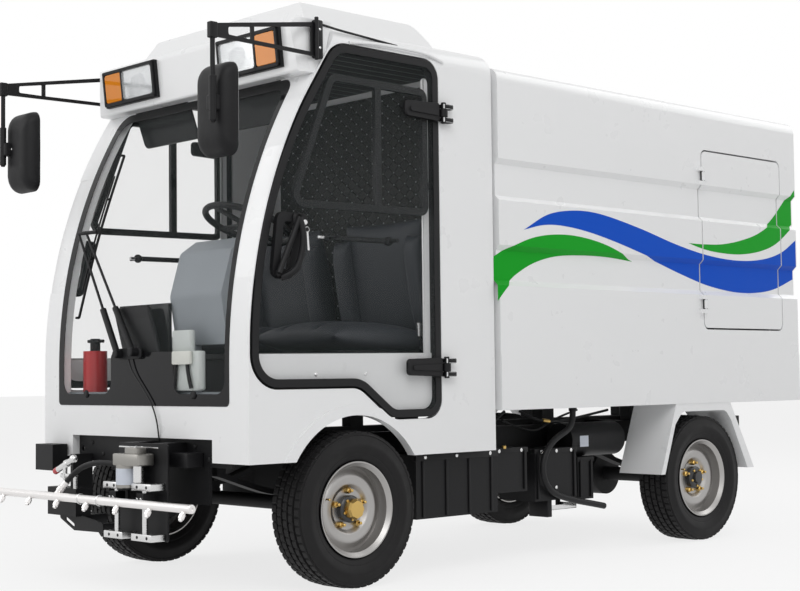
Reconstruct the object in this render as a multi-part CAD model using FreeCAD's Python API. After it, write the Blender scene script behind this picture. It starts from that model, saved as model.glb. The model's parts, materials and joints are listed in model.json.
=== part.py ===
import FreeCAD, Part
import math
import os

# Compact electric street washer truck. Millimetres, +X forward, +Y to the vehicle's left, +Z up.
# Pieces are drawn with x measured forward from the front axle, then moved so that the origin
# lies on the ground under the middle of the whole vehicle.

V = FreeCAD.Vector

# --- driving dimensions ---------------------------------------------------------------------------
ORIGIN_BEHIND_AXLE = 1161.8    # from the front axle back to the origin
WHEELBASE = 2230.0
AXLE_Z = 298.0                 # wheel centre height with the tyres loaded
FRONT_WHEEL_Y = 630.0          # middle of a front tyre
REAR_WHEEL_Y = 622.0
TYRE_R = AXLE_Z                # loaded, so that the tread meets the ground
TYRE_WIDTH = 176.0
RIM_LIP_R = 182.0
RIM_BED_R = 168.0
RIM_HALF_WIDTH = 74.0
SPINDLE_R = 16.0
KINGPIN_R = 14.0
KINGPIN_Y = 500.0
RUNNING_FIT = 0.05
TOUCH = 0.3                    # gap between pieces that lie against each other

RAIL_Y = 330.0                 # middle of a chassis rail
RAIL_WIDTH = 60.0
RAIL_LOW = 470.0
RAIL_HIGH = 570.0
RAIL_FRONT = 470.0
RAIL_WALL = 6.0
LEAF_HALF = 400.0              # leaf springs
LEAF_END_Z = 430.0
LEAF_VERTEX_Z = 295.0
LEAF_BEND_R = 700.0
LEAF_THICK = 22.0

CAB_FRONT = 514.0
CAB_REAR = -778.0
CAB_BOTTOM = 490.0
CAB_SIDE = 700.0
CAB_ROOF = 2152.0
CAB_WALL = 32.0
CAB_ROOF_ROUND = 95.0
SCREEN_CURVE_R = 2016.0        # windscreen's curve, seen from the side
SCREEN_LEAN = 32.8             # degrees from upright at the windscreen's top
SCREEN_BEND_Z = 1443.0         # where the upright and the leaning line of the nose would meet
SCREEN_HALF_WIDTH = 560.0
SCREEN_LOW = 722.0
SCREEN_HIGH = 1918.0
GLASS = 6.0
BROW_LOW = 1948.0              # brow over the windscreen that carries the lamps
BROW_LOW_X = 254.0
BROW_HIGH_X = 276.0
BROW_SIDE = 690.0
FLOOR_LOW = 670.0
FLOOR_THICK = 20.0
ARCH_R = 357.0
ARCH_FLARE = 42.0
ARCH_FLARE_OUT = 8.0
ARCH_INNER_Y = 372.0

DOOR_REAR = -457.0
DOOR_SILL = 640.0
DOOR_STEP = 765.0              # door's lower edge ahead of the wheel arch's rise
DOOR_TOP = 2072.0
DOOR_INSET = 14.0              # door's front edge behind the cab's nose line
DOOR_OUTER = 705.0
DOOR_THICK = 36.0
DOOR_GAP = 8.0
DOOR_RING = 30.0               # width of the ring round the door's glass
DOOR_PANEL_HIGH = 890.0
HINGE_R = 9.0
DOOR_HINGE_X = -470.0
DOOR_HINGE_Y = 724.0
DOOR_HINGE_HEIGHTS = (834.0, 1862.0)

BODY_FRONT = -800.0
BODY_REAR = -3073.0
BODY_SIDE = 716.0
BODY_LOW = 654.0
BODY_TOP = 2099.0
BODY_WALL = 30.0
BODY_FLUTE = 22.0              # depth of the two pressed-in bands along the side
BODY_TOP_ROUND = 60.0
HATCH_FRONT = -2250.0
HATCH_REAR = -2925.0
HATCH_LOW = 1017.0
HATCH_HIGH = 1875.0
HATCH_GAP = 8.0
HATCH_HINGE_R = 6.0
REAR_DOOR_HALF = 560.0
REAR_DOOR_LOW = 760.0
REAR_DOOR_HIGH = 2000.0

BAR_X = 740.0
BAR_Z = 347.0
BAR_R = 16.0
BAR_LENGTH = 1336.0
NOZZLE_COUNT = 7
NOZZLE_PITCH = 209.0
GUIDE_X = 650.0
GUIDE_YS = (60.0, 245.0)
GUIDE_R = 10.0
GUIDE_LOW = 200.0
GUIDE_HIGH = 410.0
CARRIAGE_TALL = 50.0
LIFT_Y = 130.0                 # the lift's rod
LIFT_ROD_R = 8.0
CLAMP_YS = (-110.0, -30.0, 150.0)
MOUNT_PLATE_X = 600.0

REAR_AXLE = -WHEELBASE
RAIL_REAR = BODY_REAR + 90.0     # the rear beam stays under the body's tail
BEAM_DEEP = 62.0
TOW_HOLE_R = 12.5
TOW_HOLE_IN = 24.0               # from the beam's rear face
PLATE_HOLE_R = 4.0
PLATE_HOLE_Y = 120.0
BODY_INNER_Y = BODY_SIDE - BODY_FLUTE - BODY_WALL
HATCH_EYE_R = HATCH_HINGE_R + 4.0
HATCH_HINGE_X = HATCH_FRONT + 4.0
HATCH_HINGE_Y = BODY_SIDE + HATCH_EYE_R + 0.4
HATCH_HINGE_IN = 113.0           # from the hatch's upper and lower edge
REAR_HINGE_X = BODY_REAR - HATCH_EYE_R - 0.4
REAR_HINGE_Y = -REAR_DOOR_HALF - 4.0
REAR_HINGE_IN = 140.0

PANEL_X = 410.0                  # service panel and the fittings beside it
STEER_Y = 325.0
STEER_WHEEL = V(222, STEER_Y, 1400)
STEER_AXIS = V(-0.3746, 0, 0.9272)
STEER_RING_R = 172.0
HUB_BEHIND = 25.3                # from the steering wheel's plane to the column's end
COLUMN_TOP = STEER_WHEEL - STEER_AXIS * HUB_BEHIND

# Cords, as control points of one smooth line each.
BAR_FITTING_END = (713.0, -197.0, 406.0)
HOSE_ROUTE = [(712.8, -196.6, 406.5), (696.2, -170.2, 440.9), (682, -116, 469), (664, -60, 481),
              (644, -8, 481), (628, 36, 474)]
WIPER_CABLE_ROUTE = [(527, -48, 880), (527, -36, 848), (525, -6, 812), (524, 32, 778), (524, 70, 742),
                     (524, 108, 702), (524, 134, 656), (523, 146, 612), (520, 147, 578), (508, 139, 552),
                     (495, 122, 542), (483.5, 104, 540)]
DRAIN_HOSE_ROUTE = [(-1392, 600, 636), (-1392, 600, 590), (-1356, 600, 552), (-1300, 601, 531),
                    (-1246, 602, 503), (-1202, 602, 459), (-1180, 601, 402), (-1190, 600, 342),
                    (-1228, 599, 294), (-1287, 598, 266), (-1357, 598, 247), (-1432, 600, 231),
                    (-1512, 601, 217), (-1600, 602, 200)]


# --- shape helpers --------------------------------------------------------------------------------
def box(x0, x1, y0, y1, z0, z1):
    return Part.makeBox(x1 - x0, y1 - y0, z1 - z0, V(x0, y0, z0))


def rod(start, end, radius):
    start, end = V(*start), V(*end)
    return Part.makeCylinder(radius, start.distanceToPoint(end), start, end - start)


def post(x, y, low, high, radius):
    """Upright round bar."""
    return rod((x, y, low), (x, y, high), radius)


def with_radius(corner):
    """A corner is (a, b) or (a, b, radius)."""
    return (corner[0], corner[1], corner[2] if len(corner) > 2 else 0.0)


def grown(corners, by):
    """The same closed outline moved outwards by a distance, its round corners kept concentric."""
    corners = [with_radius(c) for c in corners]
    count = len(corners)
    area = sum(corners[i - 1][0] * corners[i][1] - corners[i][0] * corners[i - 1][1] for i in range(count))
    turn = 1 if area > 0 else -1
    moved = []
    for i, (a, b, radius) in enumerate(corners):
        before = (V(a, b, 0) - V(*corners[i - 1][:2], 0)).normalize()
        after = (V(*corners[(i + 1) % count][:2], 0) - V(a, b, 0)).normalize()
        out_before = V(before.y, -before.x, 0) * turn
        out_after = V(after.y, -after.x, 0) * turn
        shift = (out_before + out_after) * (by / (1 + out_before.dot(out_after)))
        convex = before.cross(after).z * turn > 0
        new_radius = max(radius + (by if convex else -by), 0.0) if radius else 0.0
        moved.append((a + shift.x, b + shift.y, new_radius))
    return moved


def outline(corners, place):
    """Closed wire through the corners, each rounded by its tangent arc; place makes a 3-D point."""
    corners = [with_radius(c) for c in corners]
    count = len(corners)
    bends = []
    for i, (a, b, radius) in enumerate(corners):
        here = V(a, b, 0)
        back = (V(*corners[i - 1][:2], 0) - here).normalize()
        on = (V(*corners[(i + 1) % count][:2], 0) - here).normalize()
        if radius == 0:
            bends.append((here, None, here))
            continue
        half = back.getAngle(on) / 2
        inwards = (back + on).normalize()
        reach = radius / math.tan(half)
        middle = here + inwards * (radius / math.sin(half) - radius)
        bends.append((here + back * reach, middle, here + on * reach))
    edges = []
    for i, (start, middle, end) in enumerate(bends):
        if middle is not None:
            edges.append(Part.Arc(place(start), place(middle), place(end)).toShape())
        following = bends[(i + 1) % count][0]
        if end.distanceToPoint(following) > 0.001:
            edges.append(Part.LineSegment(place(end), place(following)).toShape())
    return Part.Wire(edges)


def slab_x(corners, x0, x1):
    """Solid with a (y, z) outline, from x0 to x1."""
    return Part.Face(outline(corners, lambda p: V(x0, p.x, p.y))).extrude(V(x1 - x0, 0, 0))


def slab_y(corners, y0, y1):
    """Solid with an (x, z) outline, from y0 to y1."""
    return Part.Face(outline(corners, lambda p: V(p.x, y0, p.y))).extrude(V(0, y1 - y0, 0))


def slab_z(corners, z0, z1):
    """Solid with an (x, y) outline, from z0 to z1."""
    return Part.Face(outline(corners, lambda p: V(p.x, p.y, z0))).extrude(V(0, 0, z1 - z0))


def turned_y(corners, centre):
    """Solid of revolution about the Y line through centre; corners are (radius, y from centre)."""
    face = Part.Face(outline(corners, lambda p: centre + V(p.x, p.y, 0)))
    return face.revolve(centre, V(0, 1, 0), 360)


def mirrored(shape):
    return shape.mirror(V(0, 0, 0), V(0, 1, 0))


def side_of(shape, side):
    """The left-hand shape itself, or its copy on the right."""
    return shape if side > 0 else mirrored(shape)


def both(shape):
    return [shape, mirrored(shape)]


def joined(shapes):
    first, rest = shapes[0], shapes[1:]
    return first.fuse(rest).removeSplitter() if rest else first


def save(name, *shapes):
    """Write one node, its solids moved to the vehicle's frame."""
    solids = [solid for shape in shapes for solid in shape.Solids]
    node = Part.makeCompound(solids)
    node.translate(V(ORIGIN_BEHIND_AXLE, 0, 0))
    node.exportStep("parts/" + name + ".step")


def tube_along(points, radius):
    """Round cord through the points: straight runs joined by tangent arcs as large as the runs allow."""
    points = [V(*p) for p in points]
    edges, radii = [], []
    start = points[0]
    length = 0.0
    for before, here, after in zip(points, points[1:], points[2:]):
        back, on = (before - here), (after - here)
        shorter = min(back.Length, on.Length)
        back, on = back.normalize(), on.normalize()
        half_turn = (math.pi - back.getAngle(on)) / 2
        bend = 0.45 * shorter / math.tan(half_turn)
        reach = 0.45 * shorter
        inwards = (back + on).normalize()
        middle = here + inwards * (bend / math.cos(half_turn) - bend)
        edges.append(Part.LineSegment(start, here + back * reach).toShape())
        edges.append(Part.Arc(here + back * reach, middle, here + on * reach).toShape())
        start = here + on * reach
        radii.append(bend)
    edges.append(Part.LineSegment(start, points[-1]).toShape())
    length = sum(edge.Length for edge in edges)
    path = Part.Wire(edges)
    circle = Part.makeCircle(radius, points[0], points[1] - points[0])
    tube = path.makePipeShell([Part.Wire([circle])], True, False)
    expected = math.pi * radius ** 2 * length
    print("cord length %.1f, radii %s, volume ratio %.4f"
          % (length, " ".join("%.0f" % r for r in radii), tube.Volume / expected))
    return tube


# --- cab ------------------------------------------------------------------------------------------
def lean_point(inset, height):
    """Where the leaning line of the nose, moved back by inset, reaches a height: its x."""
    lean = math.radians(SCREEN_LEAN)
    bend_z = SCREEN_BEND_Z - inset * math.tan(lean / 2)
    return CAB_FRONT - inset - (height - bend_z) * math.tan(lean)


def cab_profile():
    """Side outline of the cab without its brow, (x, z)."""
    return [(CAB_FRONT, CAB_BOTTOM), (CAB_FRONT, SCREEN_BEND_Z, SCREEN_CURVE_R),
            (lean_point(0, CAB_ROOF), CAB_ROOF), (CAB_REAR, CAB_ROOF, 40), (CAB_REAR, CAB_BOTTOM)]


def cab_section(inset):
    """Front outline of the cab, (y, z), moved inwards by inset."""
    high, side = CAB_ROOF - inset, CAB_SIDE - inset
    low = CAB_BOTTOM - 1
    bend = CAB_ROOF_ROUND - inset
    return [(side, low), (side, high, bend), (-side, high, bend), (-side, low)]


def cab_block(inset):
    along = slab_y(grown(cab_profile(), -inset), -CAB_SIDE, CAB_SIDE)
    return along.common(slab_x(cab_section(inset), CAB_REAR - 1, CAB_FRONT + 1))


def door_outline():
    front = CAB_FRONT - DOOR_INSET
    bend_z = SCREEN_BEND_Z - DOOR_INSET * math.tan(math.radians(SCREEN_LEAN / 2))
    return [(DOOR_REAR, DOOR_SILL, 70), (-190, DOOR_SILL, 110), (-20, DOOR_STEP, 110),
            (front, DOOR_STEP, 120), (front, bend_z, 1820),
            (lean_point(DOOR_INSET, DOOR_TOP), DOOR_TOP, 110), (DOOR_REAR, DOOR_TOP, 75)]


def wheel_arch(radius, y0, y1):
    return rod((0, y0, AXLE_Z), (0, y1, AXLE_Z), radius)


def brow_x(height):
    """Front face of the brow at a height."""
    share = (height - BROW_LOW) / (CAB_ROOF - BROW_LOW)
    return BROW_LOW_X + (BROW_HIGH_X - BROW_LOW_X) * share


def cab_shell():
    brow = slab_y([(150, BROW_LOW), (BROW_LOW_X, BROW_LOW, 12), (BROW_HIGH_X, CAB_ROOF, 30), (100, CAB_ROOF)],
                  -BROW_SIDE, BROW_SIDE)
    brow = brow.common(slab_z([(50, -BROW_SIDE), (BROW_HIGH_X, -BROW_SIDE, 60), (BROW_HIGH_X, BROW_SIDE, 60),
                               (50, BROW_SIDE)], BROW_LOW - 50, CAB_ROOF + 50))
    shell = joined([cab_block(0), brow])
    hollow = cab_block(CAB_WALL)
    hollow = hollow.fuse(hollow.translated(V(0, 0, -200)))
    shell = shell.cut(hollow)
    shell = shell.cut(box(60, CAB_FRONT + 50, -SCREEN_HALF_WIDTH, SCREEN_HALF_WIDTH, SCREEN_LOW, SCREEN_HIGH))
    cuts = []
    for shape in both(slab_y(grown(door_outline(), DOOR_GAP), ARCH_INNER_Y, CAB_SIDE + 30)):
        cuts.append(shape)
    cuts.append(wheel_arch(ARCH_R, -CAB_SIDE - 30, CAB_SIDE + 30))
    cuts.append(box(CAB_FRONT - 60, CAB_FRONT + 10, -480, 480, CAB_BOTTOM - 10, 575))
    cuts.append(box(CAB_REAR - 10, CAB_REAR + 60, -480, 480, CAB_BOTTOM - 10, 640))
    shell = shell.cut(cuts)
    flare = wheel_arch(ARCH_R + ARCH_FLARE, CAB_SIDE - 5, CAB_SIDE + ARCH_FLARE_OUT)
    flare = flare.cut(wheel_arch(ARCH_R, 0, CAB_SIDE + 30)).common(box(-500, 500, 0, 800, CAB_BOTTOM, 900))
    flare = flare.cut(slab_y(grown(door_outline(), DOOR_GAP), 0, CAB_SIDE + 30))
    return joined([shell] + both(flare))


def windscreen():
    pane = slab_y(grown(cab_profile(), -4), -SCREEN_HALF_WIDTH, SCREEN_HALF_WIDTH)
    pane = pane.cut(slab_y(grown(cab_profile(), -4 - GLASS), -CAB_SIDE, CAB_SIDE))
    return pane.common(box(100, CAB_FRONT, -SCREEN_HALF_WIDTH, SCREEN_HALF_WIDTH, SCREEN_LOW, SCREEN_HIGH))


def cab_floor():
    edge = CAB_SIDE - CAB_WALL - TOUCH
    return box(CAB_REAR + CAB_WALL + TOUCH, CAB_FRONT - CAB_WALL - TOUCH, -edge, edge,
               FLOOR_LOW, FLOOR_LOW + FLOOR_THICK)


def cab_mounts():
    """Four feet that carry the cab floor on the rails."""
    feet = []
    for x in (330, -620):
        feet += both(box(x - 40, x + 40, RAIL_Y - 30, RAIL_Y + 30, RAIL_HIGH, FLOOR_LOW))
    return feet


def roof_unit():
    low = slab_x([(575, CAB_ROOF), (575, 2165), (480, 2276, 25), (-480, 2276, 25), (-575, 2165),
                  (-575, CAB_ROOF)], -560, 120)
    side = slab_y([(120, CAB_ROOF), (120, 2175), (80, 2278, 25), (-530, 2278, 60), (-560, 2190),
                   (-560, CAB_ROOF)], -600, 600)
    return low.common(side)


def lamp_pods():
    """A dark housing for the front lamps, left and right, on the brow."""
    low, high, proud = 1975, 2130, 16
    pod = slab_y([(brow_x(low), low), (brow_x(low) + proud, low), (brow_x(high) + proud, high),
                  (brow_x(high), high)], 218, 600)
    return both(pod)


def mirror(side):
    head = slab_y([(606, 1592, 30), (668, 1592, 25), (676, 1925, 25), (600, 1925, 30)], 583, 773)
    arm_end = (696, 737)
    upper = rod((180, BROW_SIDE + 12, 2132), (*arm_end, 2040), 9)
    lower = rod((180, BROW_SIDE + 12, 2016), (*arm_end, 2016), 9)
    drop = rod((*arm_end, 2050), (*arm_end, 1700), 9)
    clamp = box(660, 706, 722, 752, 1735, 1790)
    hinge = box(154, 204, BROW_SIDE, BROW_SIDE + 20, 2000, 2145)
    return side_of(joined([head, hinge, upper, lower, drop, clamp]), side)


def dashboard():
    """Front sill, white service panel, driver's column cowl, steering column and a small screen."""
    floor = FLOOR_LOW + FLOOR_THICK
    inside = CAB_FRONT - CAB_WALL - TOUCH
    sill = box(inside - 27, inside, -600, 600, floor, floor + 60)
    panel = box(PANEL_X - 30, PANEL_X, 0, 235, floor, 950)
    cowl = slab_y([(PANEL_X, 930), (440, 1120, 60), (390, 1290, 40), (300, 1350, 30), (250, 1300, 30),
                   (PANEL_X - 60, 930)], 110, 440)
    column = rod((PANEL_X - 20, STEER_Y, 1000), tuple(COLUMN_TOP), 20)
    screen = box(PANEL_X, PANEL_X + 25, -250, -10, 985, 1095)
    shelf = box(PANEL_X - 30, PANEL_X, -260, 0, 960, 990)
    stem = box(PANEL_X - 30, PANEL_X - 10, -140, -110, floor, 960)
    return joined([sill.fuse(box(PANEL_X - 30, inside - 20, 20, 60, floor, floor + 30)), panel, cowl, column,
                   screen, shelf, stem, box(PANEL_X - 30, inside - 20, -140, -110, floor, floor + 30)])


def steering_wheel():
    ring = Part.makeTorus(STEER_RING_R, 13, V(0, 0, 0), V(0, 0, 1))
    hub = Part.makeCylinder(42, 30, V(0, 0, -25))
    spokes = [box(7 - STEER_RING_R, STEER_RING_R - 7, -14, 14, -10, 0),
              box(-14, 14, 7 - STEER_RING_R, 0, -10, 0)]
    wheel = joined([ring, hub] + spokes)
    tilt = FreeCAD.Rotation(V(0, 0, 1), STEER_AXIS)
    wheel.Placement = FreeCAD.Placement(STEER_WHEEL, tilt)
    return wheel


def seats():
    """Driver's and passenger's seats: cushion, backrest and head rest as plain closed solids."""
    floor = FLOOR_LOW + FLOOR_THICK
    pieces = []
    for low_y, high_y in ((75, 575), (-575, -75)):
        base = box(-560, -60, low_y + 20, high_y - 20, floor, 900)
        cushion = slab_y([(-560, 900), (-10, 900, 40), (-10, 1010, 50), (-560, 1000, 20)], low_y, high_y)
        back = slab_y([(-580, 1000.5), (-460, 1000.5), (-530, 1410, 50), (-630, 1410, 50)], low_y, high_y)
        pieces.append(joined([base, cushion, back]))
    return pieces


def fire_extinguisher():
    floor = FLOOR_LOW + FLOOR_THICK
    bottle = rod((400, -490, floor), (400, -490, floor + 230), 50)
    neck = rod((400, -490, floor + 230), (400, -490, floor + 280), 18)
    return joined([bottle, neck])


def washer_bottle():
    return box(PANEL_X, PANEL_X + 45, 55, 165, 820, 905)


# --- doors ----------------------------------------------------------------------------------------
def door_pane_outline():
    return grown(door_outline(), -DOOR_RING)


def slider_outline():
    """Black frame of the sliding window behind the door's glass."""
    return [(-405, 1442, 40), (318, 1434, 50), (112, 1958, 60), (-403, 1953, 40)]


def door_hinge_leaf(height):
    leaf = box(DOOR_HINGE_X, DOOR_REAR + 190, DOOR_OUTER, DOOR_OUTER + 8, height - 16, height + 16)
    root = box(DOOR_HINGE_X - 4, DOOR_HINGE_X + 16, DOOR_OUTER, DOOR_HINGE_Y, height - 16, height + 16)
    eye = post(DOOR_HINGE_X, DOOR_HINGE_Y, height - 16, height + 16, HINGE_R + 5)
    bore = post(DOOR_HINGE_X, DOOR_HINGE_Y, height - 60, height + 60, HINGE_R + RUNNING_FIT)
    return joined([leaf, root, eye]).cut(bore)


def door_handle():
    """Sloping grab bar on two posts that stand on the glass."""
    out = DOOR_OUTER + 30
    high, low = (300, 1390), (400, 1180)
    posts = [rod((x, DOOR_OUTER - 2 + TOUCH, z), (x, out, z), 11) for x, z in (high, low)]
    return joined([rod((high[0], out, high[1]), (low[0], out, low[1]), 11)] + posts)


def cab_door(side):
    """Black-edged ring with hinge leaves, the white lower panel and the slider's frame behind the glass."""
    inner = DOOR_OUTER - DOOR_THICK
    ring = slab_y(door_outline(), inner, DOOR_OUTER)
    ring = ring.cut(slab_y(door_pane_outline(), inner - 10, DOOR_OUTER + 10))
    lower = slab_y(grown(door_pane_outline(), 5), inner, inner + 10)
    lower = lower.common(box(-600, 600, 0, 800, 0, DOOR_PANEL_HIGH))
    frame = slab_y(slider_outline(), inner + 8, DOOR_OUTER - 2 - GLASS - TOUCH)
    frame = frame.cut(slab_y(grown(slider_outline(), -28), inner, DOOR_OUTER))
    middle = box(-150, -120, inner + 8, DOOR_OUTER - 2 - GLASS - TOUCH, 1450, 1945)
    ties = [box(-440, -400, inner + 8, inner + 16, z, z + 30) for z in (1550, 1850)]
    leaves = [door_hinge_leaf(height) for height in DOOR_HINGE_HEIGHTS]
    body = joined([ring, lower, frame, middle] + ties + leaves)
    return [side_of(body, side), side_of(door_handle(), side)]


def door_glass(side):
    outer = DOOR_OUTER - 2
    return side_of(slab_y(door_pane_outline(), outer - GLASS, outer), side)


def door_pins():
    """Hinge brackets and pins for the cab doors, on the cab's side behind each door."""
    pieces = []
    for height in DOOR_HINGE_HEIGHTS:
        pin = post(DOOR_HINGE_X, DOOR_HINGE_Y, height - 40, height + 40, HINGE_R)
        ears = [box(DOOR_HINGE_X - 50, DOOR_HINGE_X + 8, CAB_SIDE, DOOR_HINGE_Y + 10, low, low + 18)
                for low in (height - 36, height + 18)]
        pieces += both(joined([pin] + ears))
    return pieces


# --- washer body ----------------------------------------------------------------------------------
def body_section():
    """Front outline of the body, (y, z), with two pressed-in bands on each side."""
    deep = BODY_SIDE - BODY_FLUTE
    left = [(BODY_SIDE, BODY_LOW), (BODY_SIDE, 1176), (deep, 1198), (deep, 1324), (BODY_SIDE, 1346),
            (BODY_SIDE, 1535), (deep, 1555), (deep, 1689), (BODY_SIDE, 1711),
            (BODY_SIDE, BODY_TOP, BODY_TOP_ROUND)]
    right = [(-y, *rest) for y, *rest in reversed(left)]
    return left + right


def body_block():
    return slab_x(body_section(), BODY_REAR, BODY_FRONT)


def hatch_outline():
    return [(HATCH_FRONT, HATCH_LOW, 30), (HATCH_REAR, HATCH_LOW, 30),
            (HATCH_REAR, HATCH_HIGH, 30), (HATCH_FRONT, HATCH_HIGH, 30)]


def rear_door_outline():
    return [(REAR_DOOR_HALF, REAR_DOOR_LOW, 30), (REAR_DOOR_HALF, REAR_DOOR_HIGH, 30),
            (-REAR_DOOR_HALF, REAR_DOOR_HIGH, 30), (-REAR_DOOR_HALF, REAR_DOOR_LOW, 30)]


def body_shell():
    shell = body_block()
    hollow = box(BODY_REAR + BODY_WALL, BODY_FRONT - BODY_WALL, -BODY_INNER_Y, BODY_INNER_Y,
                 BODY_LOW + BODY_WALL, BODY_TOP - BODY_WALL)
    openings = both(slab_y(grown(hatch_outline(), HATCH_GAP), BODY_INNER_Y - 50, BODY_SIDE + 50))
    openings.append(slab_x(grown(rear_door_outline(), HATCH_GAP), BODY_REAR - 50, BODY_REAR + BODY_WALL + 20))
    return shell.cut([hollow] + openings)


def hatch_hinge_heights():
    return HATCH_LOW + HATCH_HINGE_IN, HATCH_HIGH - HATCH_HINGE_IN - 11


def side_hatch(side):
    panel = body_block().common(slab_y(hatch_outline(), BODY_INNER_Y + 2, BODY_SIDE + 20))
    parts = [panel]
    for height in hatch_hinge_heights():
        leaf = box(HATCH_FRONT - 40, HATCH_HINGE_X, BODY_SIDE - 1, BODY_SIDE + 4, height - 20, height + 20)
        eye = rod((HATCH_HINGE_X, HATCH_HINGE_Y, height - 20), (HATCH_HINGE_X, HATCH_HINGE_Y, height + 20),
                  HATCH_EYE_R)
        bore = rod((HATCH_HINGE_X, HATCH_HINGE_Y, height - 60), (HATCH_HINGE_X, HATCH_HINGE_Y, height + 60),
                   HATCH_HINGE_R + RUNNING_FIT)
        parts.append(leaf.fuse(eye).cut(bore))
    return side_of(joined(parts), side)


def hatch_pins():
    pieces = []
    for height in hatch_hinge_heights():
        pin = post(HATCH_HINGE_X, HATCH_HINGE_Y, height - 44, height + 44, HATCH_HINGE_R)
        lows = (height - 44, height + 24)
        ears = [box(HATCH_HINGE_X + 4, HATCH_HINGE_X + 40, BODY_SIDE, HATCH_HINGE_Y + 6, low, low + 20)
                for low in lows]
        knuckles = [post(HATCH_HINGE_X, HATCH_HINGE_Y, low, low + 20, HATCH_EYE_R) for low in lows]
        pieces += both(joined([pin] + ears + knuckles))
    return pieces


def rear_hinge_heights():
    middle = (REAR_DOOR_LOW + REAR_DOOR_HIGH) / 2
    return REAR_DOOR_LOW + REAR_HINGE_IN, middle, REAR_DOOR_HIGH - REAR_HINGE_IN


def rear_door():
    panel = slab_x(rear_door_outline(), BODY_REAR, BODY_REAR + BODY_WALL - 2)
    parts = [panel]
    for height in rear_hinge_heights():
        leaf = box(BODY_REAR - 4, BODY_REAR + 1, REAR_HINGE_Y, REAR_HINGE_Y + 50, height - 20, height + 20)
        eye = rod((REAR_HINGE_X, REAR_HINGE_Y, height - 20), (REAR_HINGE_X, REAR_HINGE_Y, height + 20),
                  HATCH_EYE_R)
        bore = rod((REAR_HINGE_X, REAR_HINGE_Y, height - 60), (REAR_HINGE_X, REAR_HINGE_Y, height + 60),
                   HATCH_HINGE_R + RUNNING_FIT)
        parts.append(leaf.fuse(eye).cut(bore))
    handle = box(BODY_REAR - 18, BODY_REAR, REAR_DOOR_HALF - 70, REAR_DOOR_HALF - 40, 1300, 1460)
    return joined(parts + [handle])


def rear_pins():
    pieces = []
    for height in rear_hinge_heights():
        pin = post(REAR_HINGE_X, REAR_HINGE_Y, height - 44, height + 44, HATCH_HINGE_R)
        for low in (height - 44, height + 24):
            pin = pin.fuse(box(REAR_HINGE_X - 6, BODY_REAR, REAR_HINGE_Y - 40, REAR_HINGE_Y - 4, low, low + 20))
            pin = pin.fuse(post(REAR_HINGE_X, REAR_HINGE_Y, low, low + 20, HATCH_EYE_R))
        pieces.append(pin)
    return pieces


def water_tank():
    """Open-bottomed plastic tank standing on the body's floor, ahead of the pump room."""
    outer = box(-2150, BODY_FRONT - BODY_WALL - 20, -640, 640, BODY_LOW + BODY_WALL, 1620)
    return outer.cut(box(-2135, BODY_FRONT - BODY_WALL - 35, -625, 625, BODY_LOW + BODY_WALL - 1, 1605))


def pump_unit():
    return box(-2850, -2300, -350, 350, BODY_LOW + BODY_WALL, 1150)


def rear_fenders():
    """Angular sheet fender over each rear wheel, open inboard and below."""
    x = REAR_AXLE
    outer = [(x + 349, 330), (x + 224, BODY_LOW), (x - 218, BODY_LOW), (x - 409, 330)]
    opening = [(x + 330, 300), (x + 232, 560, 40), (x + 175, 618, 50), (x - 175, 618, 50),
               (x - 222, 567, 40), (x - 345, 344), (x - 365, 300)]
    solid = slab_y(outer, 470, BODY_SIDE)
    solid = solid.cut(slab_y(opening, 400, BODY_SIDE + 10))
    return both(solid)


def rear_bumper():
    """Beam across the rails' ends with a tow lug and holes for a number plate."""
    rear, out = RAIL_REAR - BEAM_DEEP, RAIL_Y + RAIL_WIDTH / 2
    beam = box(rear, RAIL_REAR, -out, out, RAIL_LOW, RAIL_HIGH)
    lug = box(rear, RAIL_REAR, -40, 40, RAIL_LOW - 30, RAIL_LOW)
    lug = lug.cut(post(rear + TOW_HOLE_IN, 0, RAIL_LOW - 70, RAIL_LOW + 10, TOW_HOLE_R))
    middle = (RAIL_LOW + RAIL_HIGH) / 2
    holes = [rod((rear - 10, y, middle), (RAIL_REAR + 10, y, middle), PLATE_HOLE_R)
             for y in (-PLATE_HOLE_Y, PLATE_HOLE_Y)]
    return joined([beam, lug]).cut(holes)


# --- chassis --------------------------------------------------------------------------------------


def chassis_frame():
    out, inn = RAIL_Y + RAIL_WIDTH / 2, RAIL_Y - RAIL_WIDTH / 2
    channel = [(inn, RAIL_LOW), (out, RAIL_LOW), (out, RAIL_HIGH), (inn, RAIL_HIGH),
               (inn, RAIL_HIGH - RAIL_WALL), (out - RAIL_WALL, RAIL_HIGH - RAIL_WALL),
               (out - RAIL_WALL, RAIL_LOW + RAIL_WALL), (inn, RAIL_LOW + RAIL_WALL)]
    rails = both(slab_x(channel, RAIL_REAR, RAIL_FRONT))
    cross = [box(x - 25, x + 25, -out + RAIL_WALL, out - RAIL_WALL, RAIL_LOW + 20, RAIL_HIGH - 20)
             for x in (RAIL_FRONT - 30, 0, -560, -1150, -1700, REAR_AXLE, -2650, RAIL_REAR + 30)]
    bearers = []
    for x in (-900, -1500, -2150, -2900):
        bearers += both(box(x - 40, x + 40, inn, out, RAIL_HIGH, BODY_LOW))
    return joined(rails + cross + cab_mounts() + bearers)


def leaf_low():
    """Height of a leaf spring's underside over the axle."""
    slope = math.atan((LEAF_END_Z - LEAF_VERTEX_Z) / LEAF_HALF)
    return LEAF_VERTEX_Z + LEAF_BEND_R * (1 / math.cos(slope) - 1)


def leaf_spring(axle_x):
    under = [(axle_x - LEAF_HALF, LEAF_END_Z), (axle_x, LEAF_VERTEX_Z, LEAF_BEND_R),
             (axle_x + LEAF_HALF, LEAF_END_Z)]
    over = [(x, z + LEAF_THICK, *bend) for x, z, *bend in reversed(under)]
    return slab_y(under + over, RAIL_Y - 28, RAIL_Y + 28)


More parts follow.
